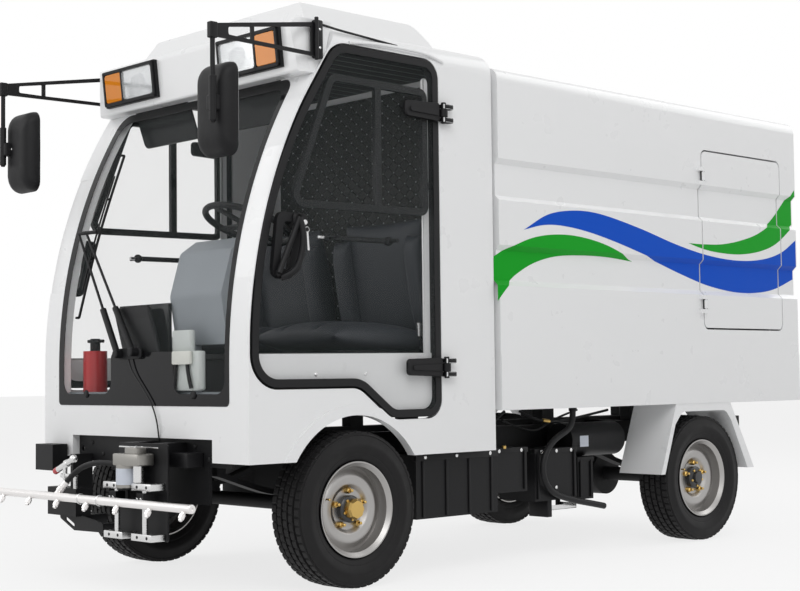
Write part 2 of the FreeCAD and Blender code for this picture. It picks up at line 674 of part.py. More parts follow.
def spring_hanger(x):
    return box(x - 20, x + 20, RAIL_Y - 28, RAIL_Y + 28, LEAF_END_Z, RAIL_LOW)


def leaf_springs():
    pieces = []
    for axle_x in (0, REAR_AXLE):
        spring = leaf_spring(axle_x)
        hangers = [spring_hanger(axle_x + along * (LEAF_HALF - 20)) for along in (-1, 1)]
        pieces += both(joined([spring] + hangers))
    return pieces


def spring_pad(axle_x):
    return box(axle_x - 45, axle_x + 45, RAIL_Y - 34, RAIL_Y + 34, AXLE_Z, leaf_low())


def front_axle():
    beam = rod((0, -KINGPIN_Y, AXLE_Z), (0, KINGPIN_Y, AXLE_Z), 26)
    bosses = both(rod((0, KINGPIN_Y, AXLE_Z - 34), (0, KINGPIN_Y, AXLE_Z + 34), 30))
    rack = rod((-130, -330, AXLE_Z), (-130, 330, AXLE_Z), 16)
    stays = both(box(-140, 0, 180, 220, AXLE_Z - 12, AXLE_Z + 12))
    bores = both(rod((0, KINGPIN_Y, 0), (0, KINGPIN_Y, 900), KINGPIN_R + RUNNING_FIT))
    return joined([beam, rack] + bosses + stays + both(spring_pad(0))).cut(bores)


def knuckle(side):
    pin = rod((0, KINGPIN_Y, AXLE_Z - 56), (0, KINGPIN_Y, AXLE_Z + 56), KINGPIN_R)
    ears = [slab_z([(-26, KINGPIN_Y - 26, 25.9), (26, KINGPIN_Y - 26, 25.9), (40, KINGPIN_Y + 56),
                    (-40, KINGPIN_Y + 56)], AXLE_Z + low, AXLE_Z + low + 18) for low in (-56, 38)]
    plate = box(-44, 44, KINGPIN_Y + 42, KINGPIN_Y + 58, AXLE_Z - 56, AXLE_Z + 56)
    drum = rod((0, KINGPIN_Y + 58, AXLE_Z), (0, FRONT_WHEEL_Y - 28, AXLE_Z), 110)
    spindle = rod((0, KINGPIN_Y + 50, AXLE_Z), (0, FRONT_WHEEL_Y + 15, AXLE_Z), SPINDLE_R)
    arm = box(-120, -20, KINGPIN_Y - 12, KINGPIN_Y + 12, AXLE_Z - 56, AXLE_Z - 38)
    return side_of(joined([pin, plate, drum, spindle, arm] + ears), side)


def rear_axle():
    tube = rod((REAR_AXLE, -560, AXLE_Z), (REAR_AXLE, 560, AXLE_Z), 34)
    drums = both(rod((REAR_AXLE, REAR_WHEEL_Y - 78, AXLE_Z), (REAR_AXLE, REAR_WHEEL_Y - 28, AXLE_Z), 110))
    spindles = both(rod((REAR_AXLE, 500, AXLE_Z), (REAR_AXLE, REAR_WHEEL_Y + 15, AXLE_Z), SPINDLE_R))
    housing = rod((REAR_AXLE, -110, AXLE_Z), (REAR_AXLE, 110, AXLE_Z), 105)
    return joined([tube, housing] + drums + spindles + both(spring_pad(REAR_AXLE)))


def drive_motor():
    return rod((REAR_AXLE + 105, 0, AXLE_Z + 10), (REAR_AXLE + 420, 0, AXLE_Z + 10), 95)


def rim(axle_x, wheel_y, side):
    half, bed, lip = RIM_HALF_WIDTH, RIM_BED_R, RIM_LIP_R
    inner = bed - 5
    profile = [(0, 40), (42, 40, 4), (45, 14), (78, 14, 10), (95, 30, 16), (125, 36, 20), (150, 20, 14),
               (inner, 16), (inner, half - 14), (lip - 5, half), (lip, half), (lip, half - 6),
               (bed, half - 18), (bed, -half + 18), (lip, -half + 6), (lip, -half), (lip - 5, -half),
               (inner, -half + 14), (inner, 4), (148, 8, 14), (125, 28, 20), (98, 22, 16), (80, 6, 10),
               (45, 6), (45, -20), (SPINDLE_R + RUNNING_FIT, -20), (SPINDLE_R + RUNNING_FIT, 18), (0, 18)]
    return side_of(turned_y(profile, V(axle_x, wheel_y, AXLE_Z)), side)


def tyre(axle_x, wheel_y, side):
    half = TYRE_WIDTH / 2
    bead = RIM_HALF_WIDTH - 18
    bed = RIM_BED_R + TOUCH
    rise = RIM_LIP_R + 4
    side_wall = [(bed, bead), (rise, bead + 12, 4), (RIM_LIP_R + 48, half, 40), (TYRE_R - 4, half - 8, 22)]
    crown = [(TYRE_R, 0)]
    other = [(r, -y, *rest) for r, y, *rest in reversed(side_wall)]
    return side_of(turned_y(side_wall + crown + other, V(axle_x, wheel_y, AXLE_Z)), side)


def battery_pack():
    low, high = 228, 486
    box_left = box(-848, -372, 400, 640, low, high)
    straps = [box(x - 20, x + 20, RAIL_Y + RAIL_WIDTH / 2, 410, high - 60, high - 10) for x in (-780, -440)]
    return both(joined([box_left] + straps))


def equipment_boxes():
    """Black boxes and an air tank hung on the left rail, and the small box ahead of the right wheel."""
    rail_face = RAIL_Y + RAIL_WIDTH / 2
    fuse_box = box(-1080, -860, rail_face, 600, 299, 486)
    controller = box(-1440, -1160, rail_face, 575, 245, 471)
    valve_hanger = box(-1600, -1545, rail_face, 386, 420, 500)
    valve_box = joined([box(-1600, -1490, rail_face, 540, 232, 420), valve_hanger])
    air_tank = rod((-1450, 470, 500), (-1830, 470, 500), 78)
    straps = [box(x - 15, x + 15, rail_face, 410, 480, 520) for x in (-1520, -1760)]
    front_box = box(CAB_FRONT + 10, CAB_FRONT + 80, -640, -505, 430, 537)
    bracket = box(RAIL_FRONT + 12, CAB_FRONT + 20, -620, -530, CAB_BOTTOM - 22, CAB_BOTTOM - 4)
    low_box = box(CAB_FRONT + 50, CAB_FRONT + 120, -475, -262, 259, 370)
    low_stay = box(RAIL_FRONT + 12, CAB_FRONT + 60, -400, -380, 300, 500)
    gland = rod((-1392, 600, BODY_LOW), (-1392, 600, 636), 18)
    return [fuse_box, controller, valve_box, joined([air_tank] + straps), joined([front_box, bracket]),
            joined([low_box, low_stay]), gland]


def front_bumper():
    plate = box(RAIL_FRONT, RAIL_FRONT + 12, -560, 560, 470, 574)
    lower = box(RAIL_FRONT, RAIL_FRONT + 12, -200, 420, 330, 470)
    holes = [rod((RAIL_FRONT - 20, y, 520), (RAIL_FRONT + 40, y, 520), 12) for y in (-450, 450)]
    plate = joined([plate, lower]).cut(holes)
    arms = [box(RAIL_FRONT + 12, MOUNT_PLATE_X, y - 30, y + 30, 480, 560) for y in (60, 245)]
    return joined([plate] + arms)


# --- spray bar and its lift -----------------------------------------------------------------------
def spray_mount():
    plate = box(MOUNT_PLATE_X, MOUNT_PLATE_X + 8, 10, 330, GUIDE_LOW, 560)
    parts = [plate]
    for y in GUIDE_YS:
        parts.append(rod((GUIDE_X, y, GUIDE_LOW), (GUIDE_X, y, GUIDE_HIGH), GUIDE_R))
        for z in (GUIDE_LOW, GUIDE_HIGH - 26):
            parts.append(box(MOUNT_PLATE_X + 8, GUIDE_X + 20, y - 36, y + 36, z, z + 26))
    return joined(parts + [hose_stub()])


def lift_actuator():
    body = rod((GUIDE_X, LIFT_Y, 425), (GUIDE_X, LIFT_Y, 545), 28)
    gearbox = box(GUIDE_X - 32, GUIDE_X + 32, LIFT_Y - 30, LIFT_Y + 85, 520, 560)
    tube = rod((GUIDE_X, LIFT_Y + 60, 425), (GUIDE_X, LIFT_Y + 60, 530), 20)
    seat = box(MOUNT_PLATE_X + 8, GUIDE_X, LIFT_Y - 20, LIFT_Y + 20, 450, 480)
    bore = rod((GUIDE_X, LIFT_Y, 400), (GUIDE_X, LIFT_Y, 535), LIFT_ROD_R + RUNNING_FIT)
    return joined([body, gearbox, tube, seat]).cut(bore)


def spray_carriage():
    """Two sleeves on the guides, the cross plate between them, the bar's arms and the lift's rod."""
    low = GUIDE_HIGH - 26 - CARRIAGE_TALL - 6
    parts = [box(GUIDE_X - 22, GUIDE_X + 22, y - 22, y + 22, low, low + CARRIAGE_TALL) for y in GUIDE_YS]
    parts.append(box(GUIDE_X - 10, GUIDE_X + 22, -130, GUIDE_YS[1], low, low + 20))
    for y in CLAMP_YS:
        parts.append(box(GUIDE_X + 10, BAR_X - 4, y - 12, y + 12, low, BAR_Z + 6))
    parts.append(rod((GUIDE_X, LIFT_Y, low + 10), (GUIDE_X, LIFT_Y, 520), LIFT_ROD_R))
    cuts = [rod((GUIDE_X, y, 0), (GUIDE_X, y, 900), GUIDE_R + RUNNING_FIT) for y in GUIDE_YS]
    cuts.append(rod((BAR_X, -BAR_LENGTH, BAR_Z), (BAR_X, BAR_LENGTH, BAR_Z), BAR_R + TOUCH))
    return joined(parts).cut(cuts)


def spray_bar():
    bar = rod((BAR_X, -BAR_LENGTH / 2, BAR_Z), (BAR_X, BAR_LENGTH / 2, BAR_Z), BAR_R)
    parts = [bar]
    for i in range(NOZZLE_COUNT):
        y = (i - (NOZZLE_COUNT - 1) / 2) * NOZZLE_PITCH
        parts.append(rod((BAR_X, y, BAR_Z), (BAR_X + 22, y, BAR_Z - 40), 9))
    return joined(parts + [rod((BAR_X, -240, BAR_Z + 3), BAR_FITTING_END, 13)])


def front_hose():
    """Black hose from the spray bar's fitting, over the guides, to the stub on the mount plate."""
    return tube_along(HOSE_ROUTE, 11)


def hose_stub():
    return rod((608, 91, 465), (628, 36, 474), 13)


def wiper_cable():
    """Thin lead from the wiper's motor over the nose to the front plate."""
    return tube_along(WIPER_CABLE_ROUTE, 3)


def wiper():
    """Wiper motor's outer housing at the foot of the windscreen and its two arm stubs."""
    return joined([box(CAB_FRONT - 4, CAB_FRONT + 22, -90, 20, 880, 918),
                   rod((CAB_FRONT, -62, 900), (CAB_FRONT + 34, -62, 900), 10),
                   rod((CAB_FRONT, -8, 896), (CAB_FRONT + 34, -8, 896), 10)])


def drain_hose():
    """Spiral-wrapped hose that hangs in a loop under the body's left side."""
    return tube_along(DRAIN_HOSE_ROUTE, 14)


def build():
    os.makedirs("parts", exist_ok=True)
    save("cab_shell", cab_shell(), *door_pins())
    save("windscreen", windscreen())
    save("cab_floor", cab_floor())
    save("roof_unit", roof_unit())
    save("lamp_pods", *lamp_pods())
    save("mirrors", mirror(1), mirror(-1))
    save("dashboard", dashboard())
    save("seats", *seats())
    save("fire_extinguisher", fire_extinguisher())
    save("washer_bottle", washer_bottle())
    save("steering_wheel", steering_wheel())
    for name, side in (("left", 1), ("right", -1)):
        save("cab_door_" + name, *cab_door(side))
        save("door_glass_" + name, door_glass(side))
        save("side_hatch_" + name, side_hatch(side))
        save("knuckle_" + name, knuckle(side))
        save("front_rim_" + name, rim(0, FRONT_WHEEL_Y, side))
        save("front_tyre_" + name, tyre(0, FRONT_WHEEL_Y, side))
        save("rear_rim_" + name, rim(REAR_AXLE, REAR_WHEEL_Y, side))
        save("rear_tyre_" + name, tyre(REAR_AXLE, REAR_WHEEL_Y, side))
    save("body_shell", body_shell(), *hatch_pins(), *rear_pins())
    save("rear_door", rear_door())
    save("water_tank", water_tank())
    save("pump_unit", pump_unit())
    save("rear_fenders", *rear_fenders())
    save("rear_bumper", rear_bumper())
    save("chassis_frame", chassis_frame())
    save("leaf_springs", *leaf_springs())
    save("front_axle", front_axle())
    save("rear_axle", rear_axle())
    save("drive_motor", drive_motor())
    save("battery_pack", *battery_pack())
    save("equipment_boxes", *equipment_boxes())
    save("front_bumper", front_bumper())
    save("spray_mount", spray_mount())
    save("lift_actuator", lift_actuator())
    save("spray_carriage", spray_carriage())
    save("spray_bar", spray_bar())
    save("wiper", wiper())
    save("wiper_cable", wiper_cable())
    save("front_hose", front_hose())
    save("drain_hose", drain_hose())


build()
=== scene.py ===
import json
import math

import bmesh
import bpy
from mathutils import Matrix, Vector


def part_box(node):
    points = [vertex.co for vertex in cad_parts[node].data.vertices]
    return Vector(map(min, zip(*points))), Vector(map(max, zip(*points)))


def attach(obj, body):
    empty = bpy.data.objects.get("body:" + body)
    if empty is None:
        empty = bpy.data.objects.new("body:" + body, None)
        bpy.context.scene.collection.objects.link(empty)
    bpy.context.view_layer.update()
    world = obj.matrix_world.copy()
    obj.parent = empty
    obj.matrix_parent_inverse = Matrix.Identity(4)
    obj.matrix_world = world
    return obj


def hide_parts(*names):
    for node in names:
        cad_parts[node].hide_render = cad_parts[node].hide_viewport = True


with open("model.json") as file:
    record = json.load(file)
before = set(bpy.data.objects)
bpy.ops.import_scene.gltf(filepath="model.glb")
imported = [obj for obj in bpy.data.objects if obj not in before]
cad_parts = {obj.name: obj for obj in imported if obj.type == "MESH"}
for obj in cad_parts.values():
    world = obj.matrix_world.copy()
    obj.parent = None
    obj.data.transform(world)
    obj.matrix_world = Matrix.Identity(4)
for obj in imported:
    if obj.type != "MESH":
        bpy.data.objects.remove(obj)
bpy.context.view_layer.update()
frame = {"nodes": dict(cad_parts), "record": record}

# --- the frame's own places, in metres ------------------------------------------------------------
AXLE_X = 1.1618                # front axle, ahead of the origin
CAMERA_PLACE = Vector((AXLE_X + 3.88774, 5.04394, 0.80505))
CAMERA_HEADING, CAMERA_TILT, CAMERA_ROLL = (math.radians(a) for a in (-133.5252, 2.98697, -0.64975))
CAMERA_LENS = 68.7054


# --- shader nodes ---------------------------------------------------------------------------------
class Wire:
    """A socket that can be used in an expression: each operator adds one Math node."""

    def __init__(self, shader, socket):
        self.shader, self.socket = shader, socket

    def maths(self, operation, *others):
        return self.shader.add("ShaderNodeMath", {"operation": operation}, self, *others)

    def __add__(self, other):
        return self.maths("ADD", other)

    def __mul__(self, other):
        return self.maths("MULTIPLY", other)

    def __sub__(self, other):
        return self.maths("SUBTRACT", other)

    def __gt__(self, other):
        return self.maths("GREATER_THAN", other)

    __radd__ = __add__
    __rmul__ = __mul__


class Shader:
    """One material and the nodes that feed its Principled shader."""

    def __init__(self, name, **fixed):
        self.material = bpy.data.materials.new(name)
        self.material.use_nodes = True
        self.tree = self.material.node_tree
        self.surface = self.tree.nodes["Principled BSDF"]
        for socket, value in fixed.items():
            self.surface.inputs[socket.replace("_", " ")].default_value = value

    def add(self, kind, settings=None, *values, output=0, **named):
        node = self.tree.nodes.new(kind)
        for key, value in (settings or {}).items():
            setattr(node, key, value)
        for key, value in list(enumerate(values)) + [(k.replace("_", " "), v) for k, v in named.items()]:
            if isinstance(value, Wire):
                self.tree.links.new(value.socket, node.inputs[key])
            elif value is not None:
                node.inputs[key].default_value = value
        return Wire(self, node.outputs[output])

    def place(self):
        return self.add("ShaderNodeTexCoord", None, output="Object")

    def noise(self, scale, detail=3.0, rough=0.5, stretch=None):
        where = self.place()
        if stretch:
            where = self.add("ShaderNodeMapping", None, where, Scale=stretch)
        return self.add("ShaderNodeTexNoise", None, Vector=where, Scale=scale, Detail=detail, Roughness=rough)

    def blend(self, factor, first, second):
        node = self.tree.nodes.new("ShaderNodeMix")
        node.data_type = "RGBA"
        for key, value in ((0, factor), (6, first), (7, second)):
            if isinstance(value, Wire):
                self.tree.links.new(value.socket, node.inputs[key])
            else:
                node.inputs[key].default_value = value
        return Wire(self, node.outputs[2])

    def feed(self, socket, wire):
        self.tree.links.new(wire.socket, self.surface.inputs[socket])

    def bump(self, height, strength=0.2, distance=0.002):
        wire = self.add("ShaderNodeBump", None, Height=height, Strength=strength, Distance=distance)
        self.feed("Normal", wire)


def rgb(red, green, blue):
    return (red, green, blue, 1.0)


def painted(name, colour, rough=0.35, coat=0.0, grain=0.0006, vary=0.04, shine=0.5):
    """Paint with a faint change of tone, uneven gloss and a fine orange-peel surface."""
    shader = Shader(name, Roughness=rough, Coat_Weight=coat, Coat_Roughness=0.08, Specular_IOR_Level=shine)
    tone = shader.noise(2.3, 4.0)
    dark = tuple(c * (1 - vary) for c in colour[:3]) + (1.0,)
    shader.feed("Base Color", shader.blend(tone, dark, colour))
    shader.feed("Roughness", shader.noise(9.0) * 0.16 + (rough - 0.08))
    shader.bump(shader.noise(420.0, 2.0), 0.12, grain)
    return shader.material


def moulded(name, colour, rough=0.5, grain_scale=900.0, depth=0.0005, vary=0.15, shine=0.22):
    """Moulded plastic or rubber with a fine grain and slightly uneven sheen."""
    shader = Shader(name, Roughness=rough, Specular_IOR_Level=shine)
    dark = tuple(c * (1 - vary) for c in colour[:3]) + (1.0,)
    shader.feed("Base Color", shader.blend(shader.noise(6.0, 5.0), dark, colour))
    shader.feed("Roughness", shader.noise(25.0) * 0.2 + (rough - 0.1))
    shader.bump(shader.noise(grain_scale, 3.0), 0.25, depth)
    return shader.material


def metal(name, colour, rough=0.3, brushed=(1, 1, 60), vary=0.12):
    """Bare metal with brushing along one direction."""
    shader = Shader(name, Roughness=rough, Metallic=1.0)
    dark = tuple(c * (1 - vary) for c in colour[:3]) + (1.0,)
    streak = shader.noise(14.0, 6.0, 0.6, stretch=brushed)
    shader.feed("Base Color", shader.blend(streak, dark, colour))
    shader.feed("Roughness", streak * 0.25 + (rough - 0.12))
    shader.bump(streak, 0.08, 0.0004)
    return shader.material


def clear(name, colour, alpha, rough=0.02):
    """Thin glazing: a tinted see-through film with a clear gloss."""
    shader = Shader(name, Roughness=rough, Metallic=0.0, Alpha=alpha)
    shader.surface.inputs["Base Color"].default_value = colour
    shader.feed("Roughness", shader.noise(3.0) * 0.03 + rough)
    shader.material.surface_render_method = "BLENDED"
    return shader.material


WHITE = painted("white_paint", rgb(0.90, 0.905, 0.91), 0.3, coat=0.4, vary=0.015)
BLACK = painted("black_metal", rgb(0.010, 0.010, 0.011), 0.45, vary=0.3, shine=0.2)
DOOR_BLACK = moulded("door_seal", rgb(0.010, 0.010, 0.011), 0.45)
GLASS = clear("clear_glass", rgb(0.08, 0.10, 0.10), 0.06)
GREY = moulded("grey_plastic", rgb(0.36, 0.39, 0.42), 0.45)
PLASTIC = moulded("black_plastic", rgb(0.009, 0.009, 0.010), 0.5)
RED = painted("red_paint", rgb(0.55, 0.015, 0.02), 0.3, coat=0.4)
BOTTLE = moulded("clear_plastic", rgb(0.72, 0.73, 0.68), 0.35)
SEAT = moulded("seat_cover", rgb(0.040, 0.043, 0.051), 0.55, 1200.0, depth=0.00015, shine=0.4)
TANK = moulded("tank_plastic", rgb(0.75, 0.77, 0.78), 0.4)
TYRE = moulded("tyre_rubber", rgb(0.013, 0.0125, 0.013), 0.62, 300.0)
RIM = metal("wheel_steel", rgb(0.42, 0.41, 0.40), 0.38, (1, 1, 1))
BRIGHT = metal("bright_steel", rgb(0.72, 0.72, 0.72), 0.25)
BAR = metal("bar_metal", rgb(0.86, 0.84, 0.83), 0.35, (40, 1, 40))
IRON = painted("axle_iron", rgb(0.014, 0.014, 0.015), 0.6, vary=0.4, shine=0.25)
HOSE = moulded("hose_rubber", rgb(0.015, 0.015, 0.016), 0.45)

FINISH = {
    "white_paint": WHITE, "black_metal": BLACK, "door_black": DOOR_BLACK, "clear_glass": GLASS,
    "grey_plastic": GREY, "black_plastic": PLASTIC, "red_paint": RED, "clear_plastic": BOTTLE,
    "seat_cover": SEAT, "tank_plastic": TANK, "tyre_rubber": TYRE, "wheel_steel": RIM,
    "bright_steel": BRIGHT, "bar_metal": BAR, "axle_iron": IRON, "hose_rubber": HOSE,
}


def finish_cad_nodes():
    """Every node from the frame gets its finished material."""
    slots = {part["node"]: part["material_slot"] for part in frame["record"]["subparts"]}
    for name, node in frame["nodes"].items():
        node.data.materials.clear()
        node.data.materials.append(FINISH[slots[name]])


finish_cad_nodes()


# --- shapes ---------------------------------------------------------------------------------------
def piece(name, mesh, material, body, smooth=True):
    """A finished mesh as an object that rides its body."""
    if smooth:
        mesh.shade_smooth()
    mesh.materials.append(material)
    thing = bpy.data.objects.new(name, mesh)
    bpy.context.scene.collection.objects.link(thing)
    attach(thing, body)
    return thing


def mesh_of(name, bm):
    bmesh.ops.recalc_face_normals(bm, faces=bm.faces)
    mesh = bpy.data.meshes.new(name)
    bm.to_mesh(mesh)
    bm.free()
    return mesh


def joined_mesh(name, *builders):
    """One mesh from several functions that each add to a bmesh."""
    bm = bmesh.new()
    for builder in builders:
        builder(bm)
    return mesh_of(name, bm)


def rounded(corners, steps=6):
    """Points round an outline whose corners are (a, b) or (a, b, radius)."""
    corners = [(c[0], c[1], c[2] if len(c) > 2 else 0.0) for c in corners]
    points = []
    for i, (a, b, radius) in enumerate(corners):
        here = Vector((a, b))
        back = (Vector(corners[i - 1][:2]) - here).normalized()
        on = (Vector(corners[(i + 1) % len(corners)][:2]) - here).normalized()
        if radius == 0:
            points.append(here)
            continue
        half = back.angle(on) / 2
        middle = (back + on).normalized()
        centre = here + middle * (radius / math.sin(half))
        start = here + back * (radius / math.tan(half)) - centre
        end = here + on * (radius / math.tan(half)) - centre
        turn = start.angle_signed(end)
        for k in range(steps + 1):
            swing = -turn * k / steps
            points.append(centre + Vector((start.x * math.cos(swing) - start.y * math.sin(swing),
                                           start.x * math.sin(swing) + start.y * math.cos(swing))))
    return points


def bridged(bm, rings):
    """Faces between each closed ring of points and the next."""
    for one, two in zip(rings, rings[1:]):
        for i in range(len(one)):
            j = (i + 1) % len(one)
            bm.faces.new((one[i], one[j], two[j], two[i]))


AXES = {"x": lambda a, b, c: Vector((c, a, b)), "y": lambda a, b, c: Vector((a, c, b)),
        "z": lambda a, b, c: Vector((a, b, c))}


def slab(outline, axis, low, high, edge=0.0, steps=6):
    """A plate with a rounded outline, its long edges eased by a small bevel."""
    def build(bm):
        points = rounded(outline, steps)
        centre = sum(points, Vector((0, 0))) / len(points)
        levels = [(low, 1), (low + edge, 0), (high - edge, 0), (high, 1)] if edge else [(low, 0), (high, 0)]
        rings = []
        for level, inset in levels:
            flat = [p - (p - centre).normalized() * edge * inset for p in points]
            rings.append([bm.verts.new(AXES[axis](q.x, q.y, level)) for q in flat])
        bridged(bm, rings)
        bm.faces.new(rings[0])
        bm.faces.new(rings[-1])
    return build


def block(x0, x1, y0, y1, z0, z1, edge=0.002, corner=0.004):
    """A box with rounded upright corners and eased edges."""
    corner = min(corner, (x1 - x0) * 0.45, (y1 - y0) * 0.45)
    outline = [(x0, y0, corner), (x1, y0, corner), (x1, y1, corner), (x0, y1, corner)]
    return slab(outline, "z", z0, z1, edge, 3)


def turned(profile, start, end, segments=32):
    """Solid of revolution along start to end; profile is (radius, distance along)."""
    def build(bm):
        a, b = Vector(start), Vector(end)
        along = (b - a).normalized()
        side = along.orthogonal().normalized()
        other = along.cross(side)
        rings = []
        for radius, distance in profile:
            if radius < 1e-6:
                rings.append([bm.verts.new(a + along * distance)])
                continue
            turns = [side * math.cos(t) + other * math.sin(t)
                     for t in (2 * math.pi * i / segments for i in range(segments))]
            rings.append([bm.verts.new(a + along * distance + turn * radius) for turn in turns])
        for first, second in zip(rings, rings[1:]):
            for i in range(segments):
                j = (i + 1) % segments
                if len(first) == 1 and len(second) == 1:
                    continue
                if len(first) == 1:
                    bm.faces.new((first[0], second[j], second[i]))
                elif len(second) == 1:
                    bm.faces.new((first[i], first[j], second[0]))
                else:
                    bm.faces.new((first[i], first[j], second[j], second[i]))
    return build


def pin(start, end, radius, edge=None, segments=24):
    """A closed round bar with eased ends."""
    length = (Vector(end) - Vector(start)).length
    ease = min(radius * 0.25, 0.002, length * 0.3) if edge is None else edge
    profile = [(0, 0), (radius - ease, 0), (radius, ease), (radius, length - ease), (radius - ease, length),
               (0, length)]
    return turned(profile, start, end, segments)


def nurbs_curve(name, points, radius, resolution):
    """A smooth round curve with the points as its control points."""
    curve = bpy.data.curves.new(name, "CURVE")
    curve.dimensions = "3D"
    curve.bevel_depth, curve.bevel_resolution, curve.use_fill_caps = radius, 4, True
    curve.resolution_u = resolution
    spline = curve.splines.new("NURBS")
    spline.points.add(len(points) - 1)
    for point, place in zip(spline.points, points):
        point.co = (*place, 1.0)
    spline.order_u = 3
    spline.use_endpoint_u = True
    return curve


def mesh_of_curve(curve):
    """The mesh that a curve gives; the curve itself goes."""
    thing = bpy.data.objects.new(curve.name, curve)
    mesh = bpy.data.meshes.new_from_object(thing)
    bpy.data.objects.remove(thing)
    bpy.data.curves.remove(curve)
    return mesh


def add_mesh(mesh):
    def build(bm):
        bm.from_mesh(mesh)
        bpy.data.meshes.remove(mesh)
    return build


def mapped(build, where):
    """A shape with each of its points moved by a function."""
    def moved(bm):
        before = set(bm.verts)
        build(bm)
        for vert in bm.verts:
            if vert not in before:
                vert.co = where(vert.co)
    return moved


def mirrored(build):
    """The same shape on the other side of the vehicle."""
    return mapped(build, lambda co: Vector((co.x, -co.y, co.z)))


def on_side(build, side):
    return build if side > 0 else mirrored(build)


SIDES = (("left", 1), ("right", -1))


# --- body stripes ---------------------------------------------------------------------------------
BODY_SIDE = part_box("rear_fenders")[1].y
FLUTE = 0.022
FLUTE_EDGES = ((1.176, 0), (1.198, 1), (1.324, 1), (1.346, 0), (1.535, 0), (1.555, 1), (1.689, 1), (1.711, 0))
DECAL_PROUD = 0.0006
HATCH_EDGE_FRONT, HATCH_EDGE_REAR, HATCH_SLOT = AXLE_X - 2.250, AXLE_X - 2.925, 0.008
BLUE = painted("blue_stripe", rgb(0.0, 0.085, 0.60), 0.42, vary=0.05, shine=0.12)
GREEN = painted("green_stripe", rgb(0.004, 0.37, 0.016), 0.42, vary=0.05, shine=0.12)

# each stripe: (distance behind the front axle, height) along its upper and its lower edge
STRIPES = {
    "blue": (BLUE, [(0.954, 1.417), (1.112, 1.492), (1.290, 1.521), (1.467, 1.517), (1.750, 1.470),
                    (2.046, 1.406),
                    (2.300, 1.367), (2.550, 1.354), (2.760, 1.370), (2.930, 1.412), (3.066, 1.482)],
             [(0.954, 1.417), (1.077, 1.444), (1.200, 1.449), (1.373, 1.433), (1.575, 1.397), (1.850, 1.334),
              (2.103, 1.269), (2.314, 1.223), (2.560, 1.197), (2.760, 1.203), (2.900, 1.226),
              (3.066, 1.280)]),
    "green_low": (GREEN, [(0.785, 1.297), (0.883, 1.343), (1.025, 1.389), (1.178, 1.409), (1.337, 1.406),
                          (1.518, 1.377), (1.718, 1.315)],
                  [(0.785, 1.110), (0.855, 1.176), (0.921, 1.225), (1.039, 1.280), (1.185, 1.315),
                   (1.370, 1.327),
                   (1.554, 1.326), (1.718, 1.315)]),
    "green_high": (GREEN, [(2.130, 1.420), (2.256, 1.421), (2.400, 1.428), (2.566, 1.455), (2.729, 1.501),
                           (2.870, 1.575), (3.066, 1.745)],
                   [(2.130, 1.420), (2.256, 1.397), (2.385, 1.386), (2.563, 1.386), (2.748, 1.412),
                    (2.892, 1.459), (3.066, 1.566)]),
}


def along_curve(points, at):
    """Height of a smooth curve through the points at one distance."""
    for i in range(len(points) - 1):
        (x0, z0), (x1, z1) = points[i], points[i + 1]
        if at <= x1 or i == len(points) - 2:
            def slope(k):
                k0, k1 = max(k - 1, 0), min(k + 1, len(points) - 1)
                return (points[k1][1] - points[k0][1]) / (points[k1][0] - points[k0][0])
            width = x1 - x0
            t = min(max((at - x0) / width, 0.0), 1.0)
            m0, m1 = slope(i) * width, slope(i + 1) * width
            return ((2 * t ** 3 - 3 * t ** 2 + 1) * z0 + (t ** 3 - 2 * t ** 2 + t) * m0
                    + (3 * t ** 2 - 2 * t ** 3) * z1 + (t ** 3 - t ** 2) * m1)


def flute_depth(height):
    """How far the body's side is pressed in at a height."""
    depth = 0.0
    for (z0, d0), (z1, d1) in zip(FLUTE_EDGES, FLUTE_EDGES[1:]):
        if z0 <= height <= z1:
            depth = d0 + (d1 - d0) * (height - z0) / (z1 - z0)
    return depth * FLUTE


def stripe_part(upper, lower, start, end):
    """The stretch of a stripe between two distances, laid on the fluted side."""
    def build(bm):
        first, last = max(start, upper[0][0]), min(end, upper[-1][0])
        columns = max(int((last - first) / 0.012), 2)
        pairs = []
        for i in range(columns + 1):
            at = first + (last - first) * i / columns
            low, high = along_curve(lower, at), along_curve(upper, at)
            pairs.append([bm.verts.new((AXLE_X - at, 0, z)) for z in (low, max(high, low + 0.0004))])
        for (a, b), (c, d) in zip(pairs, pairs[1:]):
            bm.faces.new((a, c, d, b))
        for height, _ in FLUTE_EDGES:
            bmesh.ops.bisect_plane(bm, geom=bm.verts[:] + bm.edges[:] + bm.faces[:],
                                   plane_co=(0, 0, height), plane_no=(0, 0, 1))
        for vert in bm.verts:
            vert.co.y = BODY_SIDE - flute_depth(vert.co.z) + DECAL_PROUD
    return build


def add_stripes():
    front = AXLE_X - HATCH_EDGE_FRONT
    rear = AXLE_X - HATCH_EDGE_REAR
    stretches = [("front", 0.0, front - HATCH_SLOT, "chassis"), ("hatch", front, rear, "side_hatch"),
                 ("rear", rear + HATCH_SLOT, 4.0, "chassis")]
    for side_name, side in SIDES:
        for name, (paint, upper, lower) in STRIPES.items():
            for place, start, end, body in stretches:
                if end <= upper[0][0] or start >= upper[-1][0]:
                    continue
                rides = body if body == "chassis" else body + "_" + side_name
                mesh = joined_mesh("stripe", on_side(stripe_part(upper, lower, start, end), side))
                piece("stripe_%s_%s_%s" % (name, place, side_name), mesh, paint, rides,
                      smooth=False)


add_stripes()


# --- windscreen surround --------------------------------------------------------------------------
NOSE_X = AXLE_X + 0.514
NOSE_CURVE, NOSE_BEND_Z = 2.016, 0.850


def nose_x(height):
    """The cab's front surface at a height."""
    rise = max(height - NOSE_BEND_Z, 0.0)
    return NOSE_X - NOSE_CURVE + math.sqrt(NOSE_CURVE ** 2 - rise ** 2)


